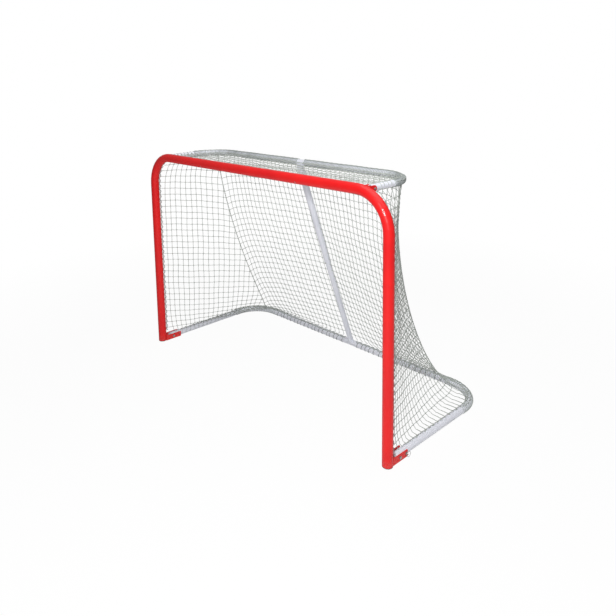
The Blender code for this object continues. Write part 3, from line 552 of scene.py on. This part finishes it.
def sidePoint(a, z):
    # share a from post to seam, level z at the post: the row falls by (a + 3 a^3) / 4 of what it hangs and
    # 1 - (1 - a)^3 of the flare, and the panel bulges out to the lower and upper tubes
    z = z - hangAt(z) * (a + 3 * a ** 3) / 4 - flareAt(z) * (1 - (1 - a) ** 3)
    xs, ys = seamAt(z)
    y = frontY + a * (ys - frontY)
    x = postXAt(z) + a * (xs - postXAt(z))
    v = heightShare(z)
    missed = []
    for level, tube in ((netLowZ, baseTube), (netTopZ, topTube)):
        xt, yt = seamAt(level)
        straight = postXAt(level) + a * (xt - postXAt(level))
        missed.append(tubeXAt(frontY + a * (yt - frontY), *tube) - straight)
    x = x + (1 - v) ** net["sideLowPower"] * missed[0] + v ** net["sideHighPower"] * missed[1]
    # past the foot bracket: the push fades out upwards and towards the seam as exponentials
    fade = np.exp(-(z - netLowZ) / net["bracketRise"]) * np.exp(-a / net["bracketShare"])
    back = net["bracketClear"] * fade * np.minimum(a / net["bracketStart"], 1)
    return np.stack([x, y + back, z + 0 * x], -1)


def backPoint(a, z):
    # share a from middle to seam, level z in the middle: the row falls near the seam as an exponential,
    # and the panel comes forward from its middle line to the seam as |a|^p
    z = z - droopAt(z) * np.exp(-(1 - np.abs(a)) / net["backFall"])
    v = heightShare(z)
    xs, ys = seamAt(z)
    topShift = net["tubeSide"] * (goal["topRadius"] + net["edge"])
    lowShift = net["tubeSide"] * (goal["baseRadius"] + net["edge"])
    topMiddle, lowMiddle = goal["topRear"] + topShift, goal["baseRear"] + lowShift
    middle = v * topMiddle + (1 - v) * lowMiddle - net["backHollow"] * np.sin(np.pi * v)
    share = np.abs(a) ** net["backCurve"]
    y = middle + (ys - middle) * share
    # what the straight mix misses at the two tubes, which fades out away from them
    edge = 1 - np.abs(a) ** 4
    high = tubeYAt(a * seamTop[0], *topTube) + topShift * edge
    high = high - (topMiddle + (seamTop[1] - topMiddle) * share)
    low = tubeYAt(a * seamFoot[0], *baseTube) + lowShift * edge
    low = low - (lowMiddle + (seamFoot[1] - lowMiddle) * share)
    y = y + v ** net["backHighPower"] * high + (1 - v) ** net["backLowPower"] * low
    return np.stack([a * xs + 0 * y, y, z + 0 * y], -1)


def roofPoint(x, y):
    # the roof sags as a sine from front to rear and as 1 - (x / half)^2 across
    middle = np.clip((y - frontY) / (goal["topRear"] - goal["topRadius"] - frontY), 0, 1)
    sag = net["roofSag"] * np.sin(np.pi * middle) * (1 - (x / goal["topHalf"]) ** 2)
    return np.stack([x + 0 * y, y + 0 * x, goal["barHeight"] - sag], -1)


def cellSteps(cells):
    # rings at a knot, beside it and in the free cord, for each mesh square; and how thick the cord is there
    share = np.array(net["ringShares"])
    thick = np.array([net["knot"], net["knotSide"], 1.0, 1.0, 1.0, net["knotSide"]])
    count = int(np.ceil(cells))
    steps = (np.arange(count)[:, None] + share[None, :]).ravel()
    keep = steps < cells - 0.02
    return np.append(steps[keep], cells), np.append(np.tile(thick, count)[keep], 1.0)


def wander(points, start):
    # slight unevenness of a hand-laced net: sums of sines of x, y and z
    x, y, z = points[..., 0], points[..., 1], points[..., 2]
    pulled = np.stack([
        np.sin(31 * z + 17 * y + start) + np.sin(53 * x - 11 * z + 2 * start),
        np.sin(29 * x + 23 * z + start) + np.sin(47 * y + 7 * x),
        np.sin(37 * x + 19 * y + start) + np.sin(43 * y - 13 * x + start)], -1)
    return points + net["uneven"] * pulled


def cordOn(surface, first, second, swell, waves, weaveSign, mirror=1):
    # one cord through the surface points at the given pairs of shares, which weaves along the surface's normal
    near = 0.002
    place = surface(first, second)
    ahead = surface(first + near, second)
    above = surface(first, second + near)
    facing = unit(np.cross(ahead - place, above - place))
    weave = weaveSign * wave(np.arange(len(place)), net["slack"], net["weave"])
    points = wander(place, waves) + facing * weave[:, None]
    return sweep(points * mirror, facing * mirror, net["cord"] * swell)


def sideNet(name, sign):
    # the columns keep the same distance from the post along every row, and end where they meet the seam
    parts = []
    mirror = np.array([sign, 1, 1])
    levels = np.linspace(netLowZ, netTopZ, 600)
    seamX, seamY = seamAt(levels - droopAt(levels))
    runs = np.hypot(postXAt(levels) - seamX, seamY - frontY)
    for column in range(1, int(runs.max() / net["column"]) + 1):
        reach = column * net["column"]
        inside = levels[runs >= reach]
        low, top = inside.min(), inside.max()
        if top - low < net["shortest"]:
            continue
        steps, swell = cellSteps((top - low) / rowPitch)
        z = low + steps * rowPitch
        a = np.minimum(reach / np.interp(z, levels, runs), 1)
        parts.append(cordOn(sidePoint, a, z, swell, net["sideWaves"], 1, mirror))
    for row in range(1, net["rows"]):
        z = netLowZ + row * rowPitch
        run = np.interp(z, levels, runs)
        steps, swell = cellSteps(run / net["column"])
        a = steps * net["column"] / run
        parts.append(cordOn(sidePoint, a, z + 0 * a, swell, net["sideWaves"], -1, mirror))
    return joined(name, parts)


def backNet(name):
    # columns at equal shares of the width and rows at equal heights, counted from the roof down
    parts = []
    columns, rows = net["backColumns"], net["rows"]
    for column in range(-columns + 1, columns):
        steps, swell = cellSteps(rows)
        z = netTopZ - steps * rowPitch
        parts.append(cordOn(backPoint, column / columns + 0 * z, z, swell, net["backWaves"], 1))
    for row in range(1, rows):
        steps, swell = cellSteps(2 * columns)
        a = np.clip(steps / columns - 1, -1, 1)
        z = netTopZ - row * rowPitch + 0 * a
        parts.append(cordOn(backPoint, a, z, swell, net["backWaves"], -1))
    return joined(name, parts)


def roofNet(name):
    # columns from the crossbar to the rear tube and rows from side to side, inside the top frame
    parts = []
    inner = goal["topHalf"] - goal["topRadius"] - net["roofGap"]
    bend = goal["topBend"] - goal["topRadius"] - net["roofGap"]
    rear = goal["topRear"] - goal["topRadius"] - net["roofRearGap"]
    # a cord ends on the bend's circle: sqrt(bend^2 - over^2) past its middle
    for column in range(-net["roofColumns"], net["roofColumns"] + 1):
        x = column * net["column"]
        over = max(abs(x) - (inner - bend), 0)
        end = rear - bend + (bend ** 2 - over ** 2) ** 0.5
        steps, swell = cellSteps((end - frontY) / rowPitch)
        y = frontY + steps * rowPitch
        parts.append(cordOn(roofPoint, x + 0 * y, y, swell, net["roofWaves"], 1))
    for row in range(1, int((rear - frontY) / rowPitch) + 1):
        y = frontY + row * rowPitch
        over = max(y - (rear - bend), 0)
        half = inner - bend + (bend ** 2 - over ** 2) ** 0.5
        steps, swell = cellSteps(2 * half / net["column"])
        x = -half + steps * net["column"]
        parts.append(cordOn(roofPoint, x, y + 0 * x, swell, net["roofWaves"], -1))
    return joined(name, parts)


def seamCord(name, sign):
    # two cords that twist round the seam, where the side and back panels are laced together
    z = np.linspace(netTopZ, netLowZ, 620)
    x, y = seamAt(z)
    middle = np.stack([sign * x, y, z], -1)
    turn = 2 * np.pi * (netTopZ - z) / net["seamLay"]
    parts = []
    for start in (0, np.pi):
        ring = np.stack([np.cos(turn + start), np.sin(turn + start), 0 * z], -1)
        parts.append(sweep(middle + net["seamTurn"] * ring, (0.3, 1, 0), net["seamCord"]))
    return joined(name, parts)


netPieces = (
    (sideNet("netLeftCords", -1), "net_left"), (sideNet("netRightCords", 1), "net_right"),
    (backNet("netBackCords"), "net_back"), (roofNet("netRoofCords"), "net_top"),
    (seamCord("seamLeft", -1), None), (seamCord("seamRight", 1), None),
)
for piece, cadNode in netPieces:
    piece.data.materials.append(netCord)
    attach(piece, "front_frame")
    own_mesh(piece)
    if cadNode:
        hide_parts(cadNode)
print("net made:", sum(len(piece.data.polygons) for piece, node in netPieces), "faces")


# lacing: wraps and stitches of cord round the white tubes, and a spiral of cord behind the red frame

lacing = {
    "cord": 0.0017,         # radius of the wrapping cord
    "bendCord": 0.00153,
    "wrapPitch": 0.0095,    # along the tube, where the net is bound closely
    "bendPitch": 0.01425,   # round the base frame's bends
    "openPitch": 0.0345,    # along the base frame's rear run
    "pitchWaves": ((0.12, 41.0), (0.10, 97.0)),  # share of the pitch, and radians per metre
    "wrapStarts": (0.0, 1.3),  # where the first turn starts, left and right, radians
    "topWrapStarts": (0.0, 0.8),
    "standOff": 0.9,        # from the tube to a wrap's or stitch's middle, in its own radii
    "overWrap": 1.2,        # room for wraps under an edge cord, in their radii
    "hemAngle": 66.0,       # where the net's edge cord lies on the base frame, 0 inside, 90 on top
    "bendHemAngle": 110,
    "topHemAngles": (-62, 8, 84, 150),
    "topSideAngles": (10, -74),
    "hemCord": 0.0021,      # radii of the edge cords
    "thinHem": 0.0016,
    "bendHem": 0.0015,
    "hemOff": 0.95,         # as standOff
    "hemPull": 0.10,        # how far the stitches pull it round the tube, radians
    "hemWander": (0.06, 23.0),  # waves of its angle and its radius: size, and radians per metre
    "hemSwell": (0.12, 260),
    # each stitch's first and last angle, lean along the tube and knot's shift: a + b sin(c n) for the nth
    "sideStitches": {
        "pitch": 0.0345, "cord": 0.0012, "knot": 0.0036, "knotAngle": 88.0, "knotEvery": 2,
        "each": ((-20, 0, 0), (96, 9, 2.3), (0.010, 0.005, 3.7), (0, 0.003, 1.9)),
    },
    "topStitches": {
        "pitch": 0.026, "cord": 0.0013, "knot": 0.0029, "knotAngle": 34.0, "knotEvery": 1,
        "each": ((-150, 14, 1), (176, 0, 0), (0.012, 0.006, 2.9), (0, 0, 0)),
    },
    "rearKnot": 0.0030,
    "rearKnotAngle": 86.0,
    "rearKnotShift": (0.003, 1.7),
    "baseFront": 0.004,     # from the foot bracket to the lacing
    "topFront": 0.024,      # from the top frame's hinge to the lacing
    "firstStitch": 0.012,   # from the lacing's front end
    "firstRearKnot": 0.04,
    "bendOver": 0.03,       # how far the wraps run past a bend
    "topOver": 0.01,
    "stayHalf": 0.05,       # half of what the stay's barrel covers of the base frame
    "sleeveHalf": 0.026,    # half of what the stay's head covers of the top frame
    "sleeveGap": 0.002,
    "spiralOff": 0.0094,    # from the red frame to the middle of the spiral behind it
    "spiralRadius": 0.00656,
    "spiralPitch": 0.034,
    "spiralWave": (0.5, 9.0),
    "spiralCord": 0.0021,
    "spiralFoot": 0.06,     # height of its lower ends
}


def frameWalk(half, rear, bend, startY, height):
    # a U-shaped tube's middle line from its left front end to its right one, and a leg's and a bend's length
    turn = np.radians(np.linspace(0, 90, 32))
    leftX, leftY = -(half - bend) - bend * np.cos(turn), rear - bend + bend * np.sin(turn)
    x = np.concatenate([[-half], leftX, -leftX[::-1], [half]])
    y = np.concatenate([[startY], leftY, leftY[::-1], [startY]])
    return np.stack([x, y, np.full(len(x), height)], -1), rear - bend - startY, bend * np.pi / 2


def bothSides(total, first, last):
    # a stretch of such a line from one distance to another, and the same one on the other side
    return (first, last), (total - last, total - first)


def roundTube(walk, at, turn, reach):
    # a point on the tube, p + r (cos t * inner + sin t * up), and the tube's direction there
    length = lengthAlong(walk)
    points, ahead, behind = (pointsAt(walk, length, at + shift) for shift in (0, 0.004, -0.004))
    ways = unit(ahead - behind)
    up = np.array([0, 0, 1.0])
    inner = unit(np.cross(ways, up))
    return points + reach * (np.cos(turn)[:, None] * inner + np.sin(turn)[:, None] * up), ways


def wrapAlong(walk, first, last, tubeRadius, pitch, cord, start=0.0):
    # a helix round the tube from one distance to another, its pitch slowly varying, with 13 rings to a turn
    at = np.linspace(first, last, max(int((last - first) / pitch * 13), 8))
    slow = pitch * sum(wave(at, *each) for each in lacing["pitchWaves"])
    turn = 2 * np.pi * (at + slow) / pitch + start
    points, ways = roundTube(walk, at, turn, tubeRadius + cord * lacing["standOff"])
    return sweep(points, ways, cord, sides=5)


def hemAlong(walk, first, last, tubeRadius, degrees, cord):
    # the net's edge cord, which lies along the tube and wanders a little round it
    at = np.linspace(first, last, int((last - first) / 0.006))
    pulled = wave(at, lacing["hemPull"], 2 * np.pi / lacing["sideStitches"]["pitch"])
    turn = np.radians(degrees) + pulled + wave(at, *lacing["hemWander"])
    points = roundTube(walk, at, turn, tubeRadius + cord * lacing["hemOff"])[0]
    return sweep(points, (0, 0.2, 1.0), cord * (1 + wave(at, *lacing["hemSwell"])))


def stitchAt(walk, at, tubeRadius, firstDegrees, lastDegrees, lean, cord):
    # an open ring round part of the tube, leaning along it
    share = np.linspace(0, 1, 16)
    turn = np.radians(firstDegrees + share * (lastDegrees - firstDegrees))
    points, ways = roundTube(walk, at + (share - 0.5) * lean, turn, tubeRadius + cord * lacing["standOff"])
    return sweep(points, ways, cord, sides=5)


def knotAt(walk, at, tubeRadius, degrees, size):
    # a small knot on the edge cord: 3.2 sizes long, with a radius of size (0.35 + 0.65 sin(pi share))
    share = np.linspace(0, 1, 7)
    along = at + (share - 0.5) * size * 3.2
    points = roundTube(walk, along, np.radians(degrees) + 0 * share, tubeRadius + size * 0.8)[0]
    return sweep(points, (0, 0.2, 1.0), size * (0.35 + 0.65 * np.sin(np.pi * share)), sides=7)


def stitchRow(walk, first, last, tubeRadius, look):
    # stitches at an even pitch, and knots beside every one or every second
    parts = []
    for n, at in enumerate(np.arange(first, last, look["pitch"])):
        start, end, lean, shift = (a + wave(n, b, c) for a, b, c in look["each"])
        parts.append(stitchAt(walk, at, tubeRadius, start, end, lean, look["cord"]))
        if (n + 1) % look["knotEvery"] == 0:
            parts.append(knotAt(walk, at + shift, tubeRadius, look["knotAngle"], look["knot"]))
    return parts


def laceBase():
    # wraps on the bends and the rear run, stitches on the side tubes, the net's edge cord and its knots
    walk, leg, bend = frameWalk(*baseTube, goal["bracketEnd"] + lacing["baseFront"], goal["baseRadius"])
    radius, cord, over = goal["baseRadius"], lacing["cord"], lacing["bendOver"]
    total = lengthAlong(walk)[-1]
    stayEdge = total / 2 - lacing["stayHalf"]
    wraps, stitches, sideHems = [], [], []
    for first, last in bothSides(total, leg - over, leg + bend + over):
        stitches.append(wrapAlong(walk, first, last, radius, lacing["bendPitch"], lacing["bendCord"]))
        stitches.append(hemAlong(
            walk, first, last, radius + cord * lacing["overWrap"], lacing["bendHemAngle"], lacing["bendHem"]))
    for (first, last), start in zip(bothSides(total, leg + bend + over, stayEdge), lacing["wrapStarts"]):
        wraps.append(wrapAlong(walk, first, last, radius, lacing["openPitch"], cord, start))
    for first, last in bothSides(total, 0.0, leg):
        sideHems.append(hemAlong(walk, first, last, radius, lacing["hemAngle"], lacing["thinHem"]))
    for first, last in bothSides(total, leg, stayEdge):
        stitches.append(hemAlong(walk, first, last, radius, lacing["hemAngle"], lacing["hemCord"]))
    for first, last in bothSides(total, lacing["firstStitch"], leg - over):
        stitches += stitchRow(walk, first, last, radius, lacing["sideStitches"])
    for first, last in bothSides(total, leg + bend + lacing["firstRearKnot"], stayEdge):
        for n, at in enumerate(np.arange(first, last, lacing["openPitch"])):
            knot = at + wave(n, *lacing["rearKnotShift"])
            stitches.append(knotAt(walk, knot, radius, lacing["rearKnotAngle"], lacing["rearKnot"]))
    addPiece("baseWraps", wraps, wrapCord, "base_frame")
    addPiece("baseHem", stitches, netCord, "base_frame")
    addPiece("baseLoops", sideHems, laceCord, "base_frame")


def laceTop():
    # close wraps with four cords of the net's edge over them, and stitches on the short side tubes
    walk, leg = frameWalk(*topTube, goal["lugPivotY"] + lacing["topFront"], goal["barHeight"])[:2]
    radius, cord, thin = goal["topRadius"], lacing["cord"], lacing["thinHem"]
    total = lengthAlong(walk)[-1]
    stayEdge = total / 2 - lacing["sleeveHalf"]
    wraps, hems = [], []
    for (first, last), start in zip(
            bothSides(total, leg - lacing["topOver"], stayEdge), lacing["topWrapStarts"]):
        wraps.append(wrapAlong(walk, first, last, radius, lacing["wrapPitch"], cord, start))
    for degrees in lacing["topHemAngles"]:
        for first, last in bothSides(total, leg, stayEdge - lacing["sleeveGap"]):
            hems.append(hemAlong(walk, first, last, radius + cord * lacing["overWrap"], degrees, thin))
    for first, last in bothSides(total, 0.0, leg):
        for degrees in lacing["topSideAngles"]:
            hems.append(hemAlong(walk, first, last, radius, degrees, lacing["hemCord"]))
        hems += stitchRow(walk, first + 0.006, last - 0.004, radius, lacing["topStitches"])
    addPiece("topWraps", wraps, wrapCord, "top_frame")
    addPiece("topHems", hems, netCord, "top_frame")


laceBase()
laceTop()


def redFrameWalk(offsetY, lowZ):
    # up one post, round the corner, along the crossbar and down the other post, behind the tube
    turn = np.radians(np.linspace(0, 90, 24))
    r = goal["cornerRadius"]
    x = np.concatenate([[-goal["postX"]], -goal["postX"] + r * (1 - np.cos(turn))])
    z = np.concatenate([[lowZ], goal["barHeight"] - r + r * np.sin(turn)])
    x = np.concatenate([x, -x[::-1]])
    z = np.concatenate([z, z[::-1]])
    return np.stack([x, np.full(len(x), goal["postY"] + offsetY), z], -1)


def frameSpiral(name):
    # a cord wound round the net's edge cord, a helix whose pitch varies slowly
    walk = redFrameWalk(goal["postRadius"] + lacing["spiralOff"], lacing["spiralFoot"])
    length = lengthAlong(walk)
    at = np.linspace(0, length[-1], int(length[-1] / 0.0032))
    middle = pointsAt(walk, length, at)
    way = unit(np.gradient(middle, axis=0))
    back = np.array([0, 1.0, 0])
    side = np.cross(way, back)
    turn = 2 * np.pi * at / lacing["spiralPitch"] + wave(at, *lacing["spiralWave"])
    ring = np.cos(turn)[:, None] * back + np.sin(turn)[:, None] * side
    spiral = middle + lacing["spiralRadius"] * ring
    cord = lacing["spiralCord"]
    addPiece(name, [sweep(spiral, back, cord)], laceCord, "front_frame")
    addPiece(name + "Edge", [sweep(middle[::3], back, cord)], netCord, "front_frame")


frameSpiral("frameLacing")
print("lacing made")


# small metal details: the joint line of each post, weld beads and the stay's snap button

metal = {
    "beadRadius": 0.0021,
    "stayBead": 0.0019,
    "beadWave": 0.16,       # how much the bead swells and shrinks
    "beadStep": 0.003,      # from one ripple to the next
    "beadTaper": 0.002,     # how long its ends are, which thin down to beadEnd of its radius
    "beadEnd": 0.3,
    "offTube": 0.0004,      # how far a bead's middle stands off the tube
    "bracketFoot": 0.004,
    "bracketTop": 0.0345,
    "bracketOver": 0.0352,  # height of the bead across its top
    "bracketAngles": (50.0, -46.0),  # where the bracket's cheeks meet the post, 0 straight back
    "lugHalf": 0.0212,
    "lugAngle": 38.0,
    "jointEdges": ((0.0016, 0.0009), (-0.0016, 0.0007)),  # height above the joint, and radius
    "stayTilt": 110.033,    # of the stay, 90 upright
    "stayTube": 0.0172,     # radius of the weld round the stay's foot
    "barrel": 0.0194,       # its distance from the barrel's middle
    "buttonFoot": 0.020,    # from the stay's middle line
    "buttonRadius": 0.0045,
    "buttonHeight": 0.0032,
    "buttonAt": 0.628,      # from the stay's foot
}


def bead(path, radius):
    # a weld bead: the cord sweep with radius r (1 + wave sin(2 pi at / step)), thinner at its ends
    length = lengthAlong(path)
    at = np.linspace(0, length[-1], max(int(length[-1] / 0.0009), 8))
    swell = radius * (1 + wave(at, metal["beadWave"], 2 * np.pi / metal["beadStep"]))
    fromEnd = np.minimum(at, length[-1] - at)
    swell = swell * np.clip(fromEnd / metal["beadTaper"], metal["beadEnd"], 1)
    return sweep(pointsAt(path, length, at), (0.31, 0.9, 0.3), swell, sides=7)


def onPost(side, degrees, z):
    # a point on the back of a post, the angle counted from straight back towards the outside
    turn = np.radians(degrees)
    reach = goal["postRadius"] + metal["offTube"]
    x = side * (goal["postX"] + reach * np.sin(turn))
    return np.stack([x + 0 * z, goal["postY"] + reach * np.cos(turn) + 0 * z, z + 0 * turn], -1)


def onBar(x, degrees):
    # a point on the back of the crossbar, which bends down towards the post
    start = goal["postX"] - goal["cornerRadius"]
    over = np.clip(np.abs(x) - start, 0, None)
    middle = goal["barHeight"] - goal["cornerRadius"] + np.sqrt(goal["cornerRadius"] ** 2 - over ** 2)
    turn = np.radians(degrees)
    reach = goal["postRadius"] + metal["offTube"]
    y = goal["postY"] + reach * np.cos(turn)
    return np.stack([x + 0 * turn, y + 0 * x, middle + reach * np.sin(turn)], -1)


def frameWelds():
    # up a bracket's outer edge, across its top and down the inner edge; and a frame round each lug's foot
    parts = []
    outer, inner = metal["bracketAngles"]
    up = np.linspace(metal["bracketFoot"], metal["bracketTop"], 12)
    over = np.linspace(outer, inner, 24)
    wide = np.linspace(-metal["lugHalf"], metal["lugHalf"], 16)
    tall = np.linspace(-metal["lugAngle"], metal["lugAngle"], 16)
    for side in (-1, 1):
        edge = np.concatenate([
            onPost(side, outer, up), onPost(side, over, metal["bracketOver"]), onPost(side, inner, up[::-1])])
        x = side * goal["topHalf"] + wide
        loop = np.concatenate([
            onBar(x, tall[-1]), onBar(x[-1], tall[::-1]), onBar(x[::-1], tall[0]), onBar(x[0], tall)])
        parts += [bead(edge, metal["beadRadius"]), bead(loop[:-1], metal["beadRadius"])]
    addPiece("frameWelds", parts, redPaint, "front_frame")


def jointLines():
    # a thin raised edge where the upper tube of each post meets the lower one
    turn = np.linspace(0, 2 * np.pi, 48, endpoint=False)
    parts = []
    for side in (-1, 1):
        x = side * goal["postX"] + goal["postRadius"] * np.cos(turn)
        y = goal["postY"] + goal["postRadius"] * np.sin(turn)
        for lift, thick in metal["jointEdges"]:
            ring = np.stack([x, y, goal["jointHeight"] + lift + 0 * x], -1)
            parts.append(sweep(ring, (0, 0, 1.0), thick, closed=True))
    addPiece("jointLines", parts, redPaint, "front_frame")


def stayDetails():
    # the weld follows the saddle where the stay's tube meets the barrel: at an angle t round the tube it lies
    # sqrt(barrel^2 - (tube sin t)^2) along the stay; the button is a dome of radius r sqrt(1 - share^2)
    tilt = np.radians(metal["stayTilt"])
    across = np.array([1.0, 0, 0])
    axis = np.array([0, np.cos(tilt), np.sin(tilt)])
    deep = np.array([0, -np.sin(tilt), np.cos(tilt)])
    foot = np.array([0, goal["baseRear"], goal["baseRadius"]])
    turn = np.linspace(0, 2 * np.pi, 72, endpoint=False)
    tube = metal["stayTube"]
    along = np.sqrt(metal["barrel"] ** 2 - (tube * np.sin(turn)) ** 2)
    ring = np.cos(turn)[:, None] * across + np.sin(turn)[:, None] * deep
    saddle = foot + along[:, None] * axis + tube * ring
    weld = bead(np.concatenate([saddle, saddle[:1]]), metal["stayBead"])
    addPiece("stayWeld", [weld], whitePaint, "stay_lower")
    share = np.linspace(0, 1, 8)
    radius = metal["buttonRadius"] * np.sqrt(np.clip(1 - share ** 2, 0.02, 1))
    rise = metal["buttonFoot"] + metal["buttonHeight"] * share
    spine = foot + metal["buttonAt"] * axis + rise[:, None] * deep
    addPiece("stayButton", [sweep(spine, across, radius, sides=14)], zincPlate, "stay_upper")


frameWelds()
jointLines()
stayDetails()
print("welds and small details made")


# floor, light and camera

studio = {
    "floor": (0.90, 0.90, 0.90),
    "floorHalf": 30.0,
    "floorGlow": 0.95,      # how much of the floor near the goal is shown as plain white
    "fadeFrom": 1.6,        # from here to fadeTo the floor turns wholly white, metres from the middle
    "fadeTo": 3.4,
    "ambient": 0.17,        # how bright the surroundings light the goal
    "mirrored": 0.22,       # how bright the surroundings look in gloss
}


def seenByCamera(tree, ray):
    # 1 on rays from the camera, also through glass
    return mathNode(tree, "MAXIMUM", ray.outputs["Is Camera Ray"], ray.outputs["Is Transmission Ray"])


def makeFloor():
    # a matte floor that keeps its shadows, mixed with plain white as far as the camera sees it
    corners = studio["floorHalf"] * np.array([[-1, -1, 0], [1, -1, 0], [1, 1, 0], [-1, 1, 0]])
    floor = objectFrom("studioFloor", corners, np.array([[0, 1, 2, 3]]), smooth=False)
    material = bpy.data.materials.new("studioFloor")
    material.use_nodes = True
    tree = material.node_tree
    tree.nodes.clear()
    output = tree.nodes.new("ShaderNodeOutputMaterial")
    matte = tree.nodes.new("ShaderNodeBsdfDiffuse")
    matte.inputs["Color"].default_value = (*studio["floor"], 1)
    glow = tree.nodes.new("ShaderNodeEmission")
    glow.inputs["Color"].default_value = (1, 1, 1, 1)
    glow.inputs["Strength"].default_value = 1.0
    place = tree.nodes.new("ShaderNodeTexCoord")
    length = tree.nodes.new("ShaderNodeVectorMath")
    length.operation = "LENGTH"
    tree.links.new(place.outputs["Object"], length.inputs[0])
    glowing = rangeNode(
        tree, length.outputs["Value"], studio["fadeFrom"], studio["fadeTo"], studio["floorGlow"], 1.0)
    seen = seenByCamera(tree, tree.nodes.new("ShaderNodeLightPath"))
    mix = tree.nodes.new("ShaderNodeMixShader")
    tree.links.new(times(tree, seen, glowing), mix.inputs["Fac"])
    tree.links.new(matte.outputs[0], mix.inputs[1])
    tree.links.new(glow.outputs[0], mix.inputs[2])
    tree.links.new(mix.outputs[0], output.inputs["Surface"])
    floor.data.materials.append(material)


def makeWorld():
    # white for the camera, darker in gloss and darker still as light
    world = bpy.data.worlds.new("studioWorld")
    bpy.context.scene.world = world
    world.use_nodes = True
    tree = world.node_tree
    back = tree.nodes["Background"]
    ray = tree.nodes.new("ShaderNodeLightPath")
    seen = seenByCamera(tree, ray)
    glossy = times(tree, ray.outputs["Is Glossy Ray"], studio["mirrored"])
    shown = mathNode(tree, "MAXIMUM", seen, glossy)
    back.inputs["Color"].default_value = (1, 1, 1, 1)
    tree.links.new(rangeNode(tree, shown, 0.0, 1.0, studio["ambient"], 1.0), back.inputs["Strength"])


studioLights = {
    "flashLight": {"place": (1.9, -2.25, 1.9), "target": (0.2, -0.3, 0.6), "size": 0.45, "power": 46},
    "skyPanel": {"place": (0.9, -0.1, 3.6), "target": (0.2, 0, 0.5), "size": 3.6, "power": 66},
}


def areaLight(name, place, target, size, power):
    # a round area light turned from its place to the target
    data = bpy.data.lights.new(name, "AREA")
    data.shape = "DISK"
    data.size = size
    data.energy = power
    lamp = bpy.data.objects.new(name, data)
    way = np.array(target, float) - np.array(place, float)
    lean = np.arccos(-way[2] / np.linalg.norm(way))
    lamp.location = place
    lamp.rotation_euler = (lean, 0, np.arctan2(way[1], way[0]) - np.pi / 2)
    bpy.context.scene.collection.objects.link(lamp)


# fitted to the photo by least squares; angles in degrees, focal length and centre in its pixels
photoView = {
    "place": (2.524, -2.4621, 1.7572), "yaw": 47.353, "pitch": 8.512, "roll": -1.059,
    "focal": 620.82, "centre": (285.0, 165.0), "pixels": 616, "sensor": 36,
}


def makeCamera():
    data = bpy.data.cameras.new("photoCamera")
    pixels = photoView["pixels"]
    data.sensor_width = photoView["sensor"]
    data.lens = photoView["focal"] / pixels * photoView["sensor"]
    data.shift_x = (pixels / 2 - photoView["centre"][0]) / pixels
    data.shift_y = (photoView["centre"][1] - pixels / 2) / pixels
    data.clip_end = 100
    camera = bpy.data.objects.new("photoCamera", data)
    yaw, pitch, roll = (np.radians(photoView[key]) for key in ("yaw", "pitch", "roll"))
    ahead = np.array([-np.sin(yaw) * np.cos(pitch), np.cos(yaw) * np.cos(pitch), -np.sin(pitch)])
    right = unit(np.cross(ahead, (0, 0, 1)))
    up = np.cross(right, ahead)
    pose = np.eye(4)
    pose[:3, 0] = np.cos(roll) * right + np.sin(roll) * up
    pose[:3, 1] = -np.sin(roll) * right + np.cos(roll) * up
    pose[:3, 2] = -ahead
    pose[:3, 3] = photoView["place"]
    camera.matrix_world = Matrix(pose.tolist())
    bpy.context.scene.collection.objects.link(camera)
    bpy.context.scene.camera = camera


makeFloor()
makeWorld()
for name, light in studioLights.items():
    areaLight(name, **light)
makeCamera()
bpy.context.scene.view_settings.view_transform = "Standard"
print("studio made")
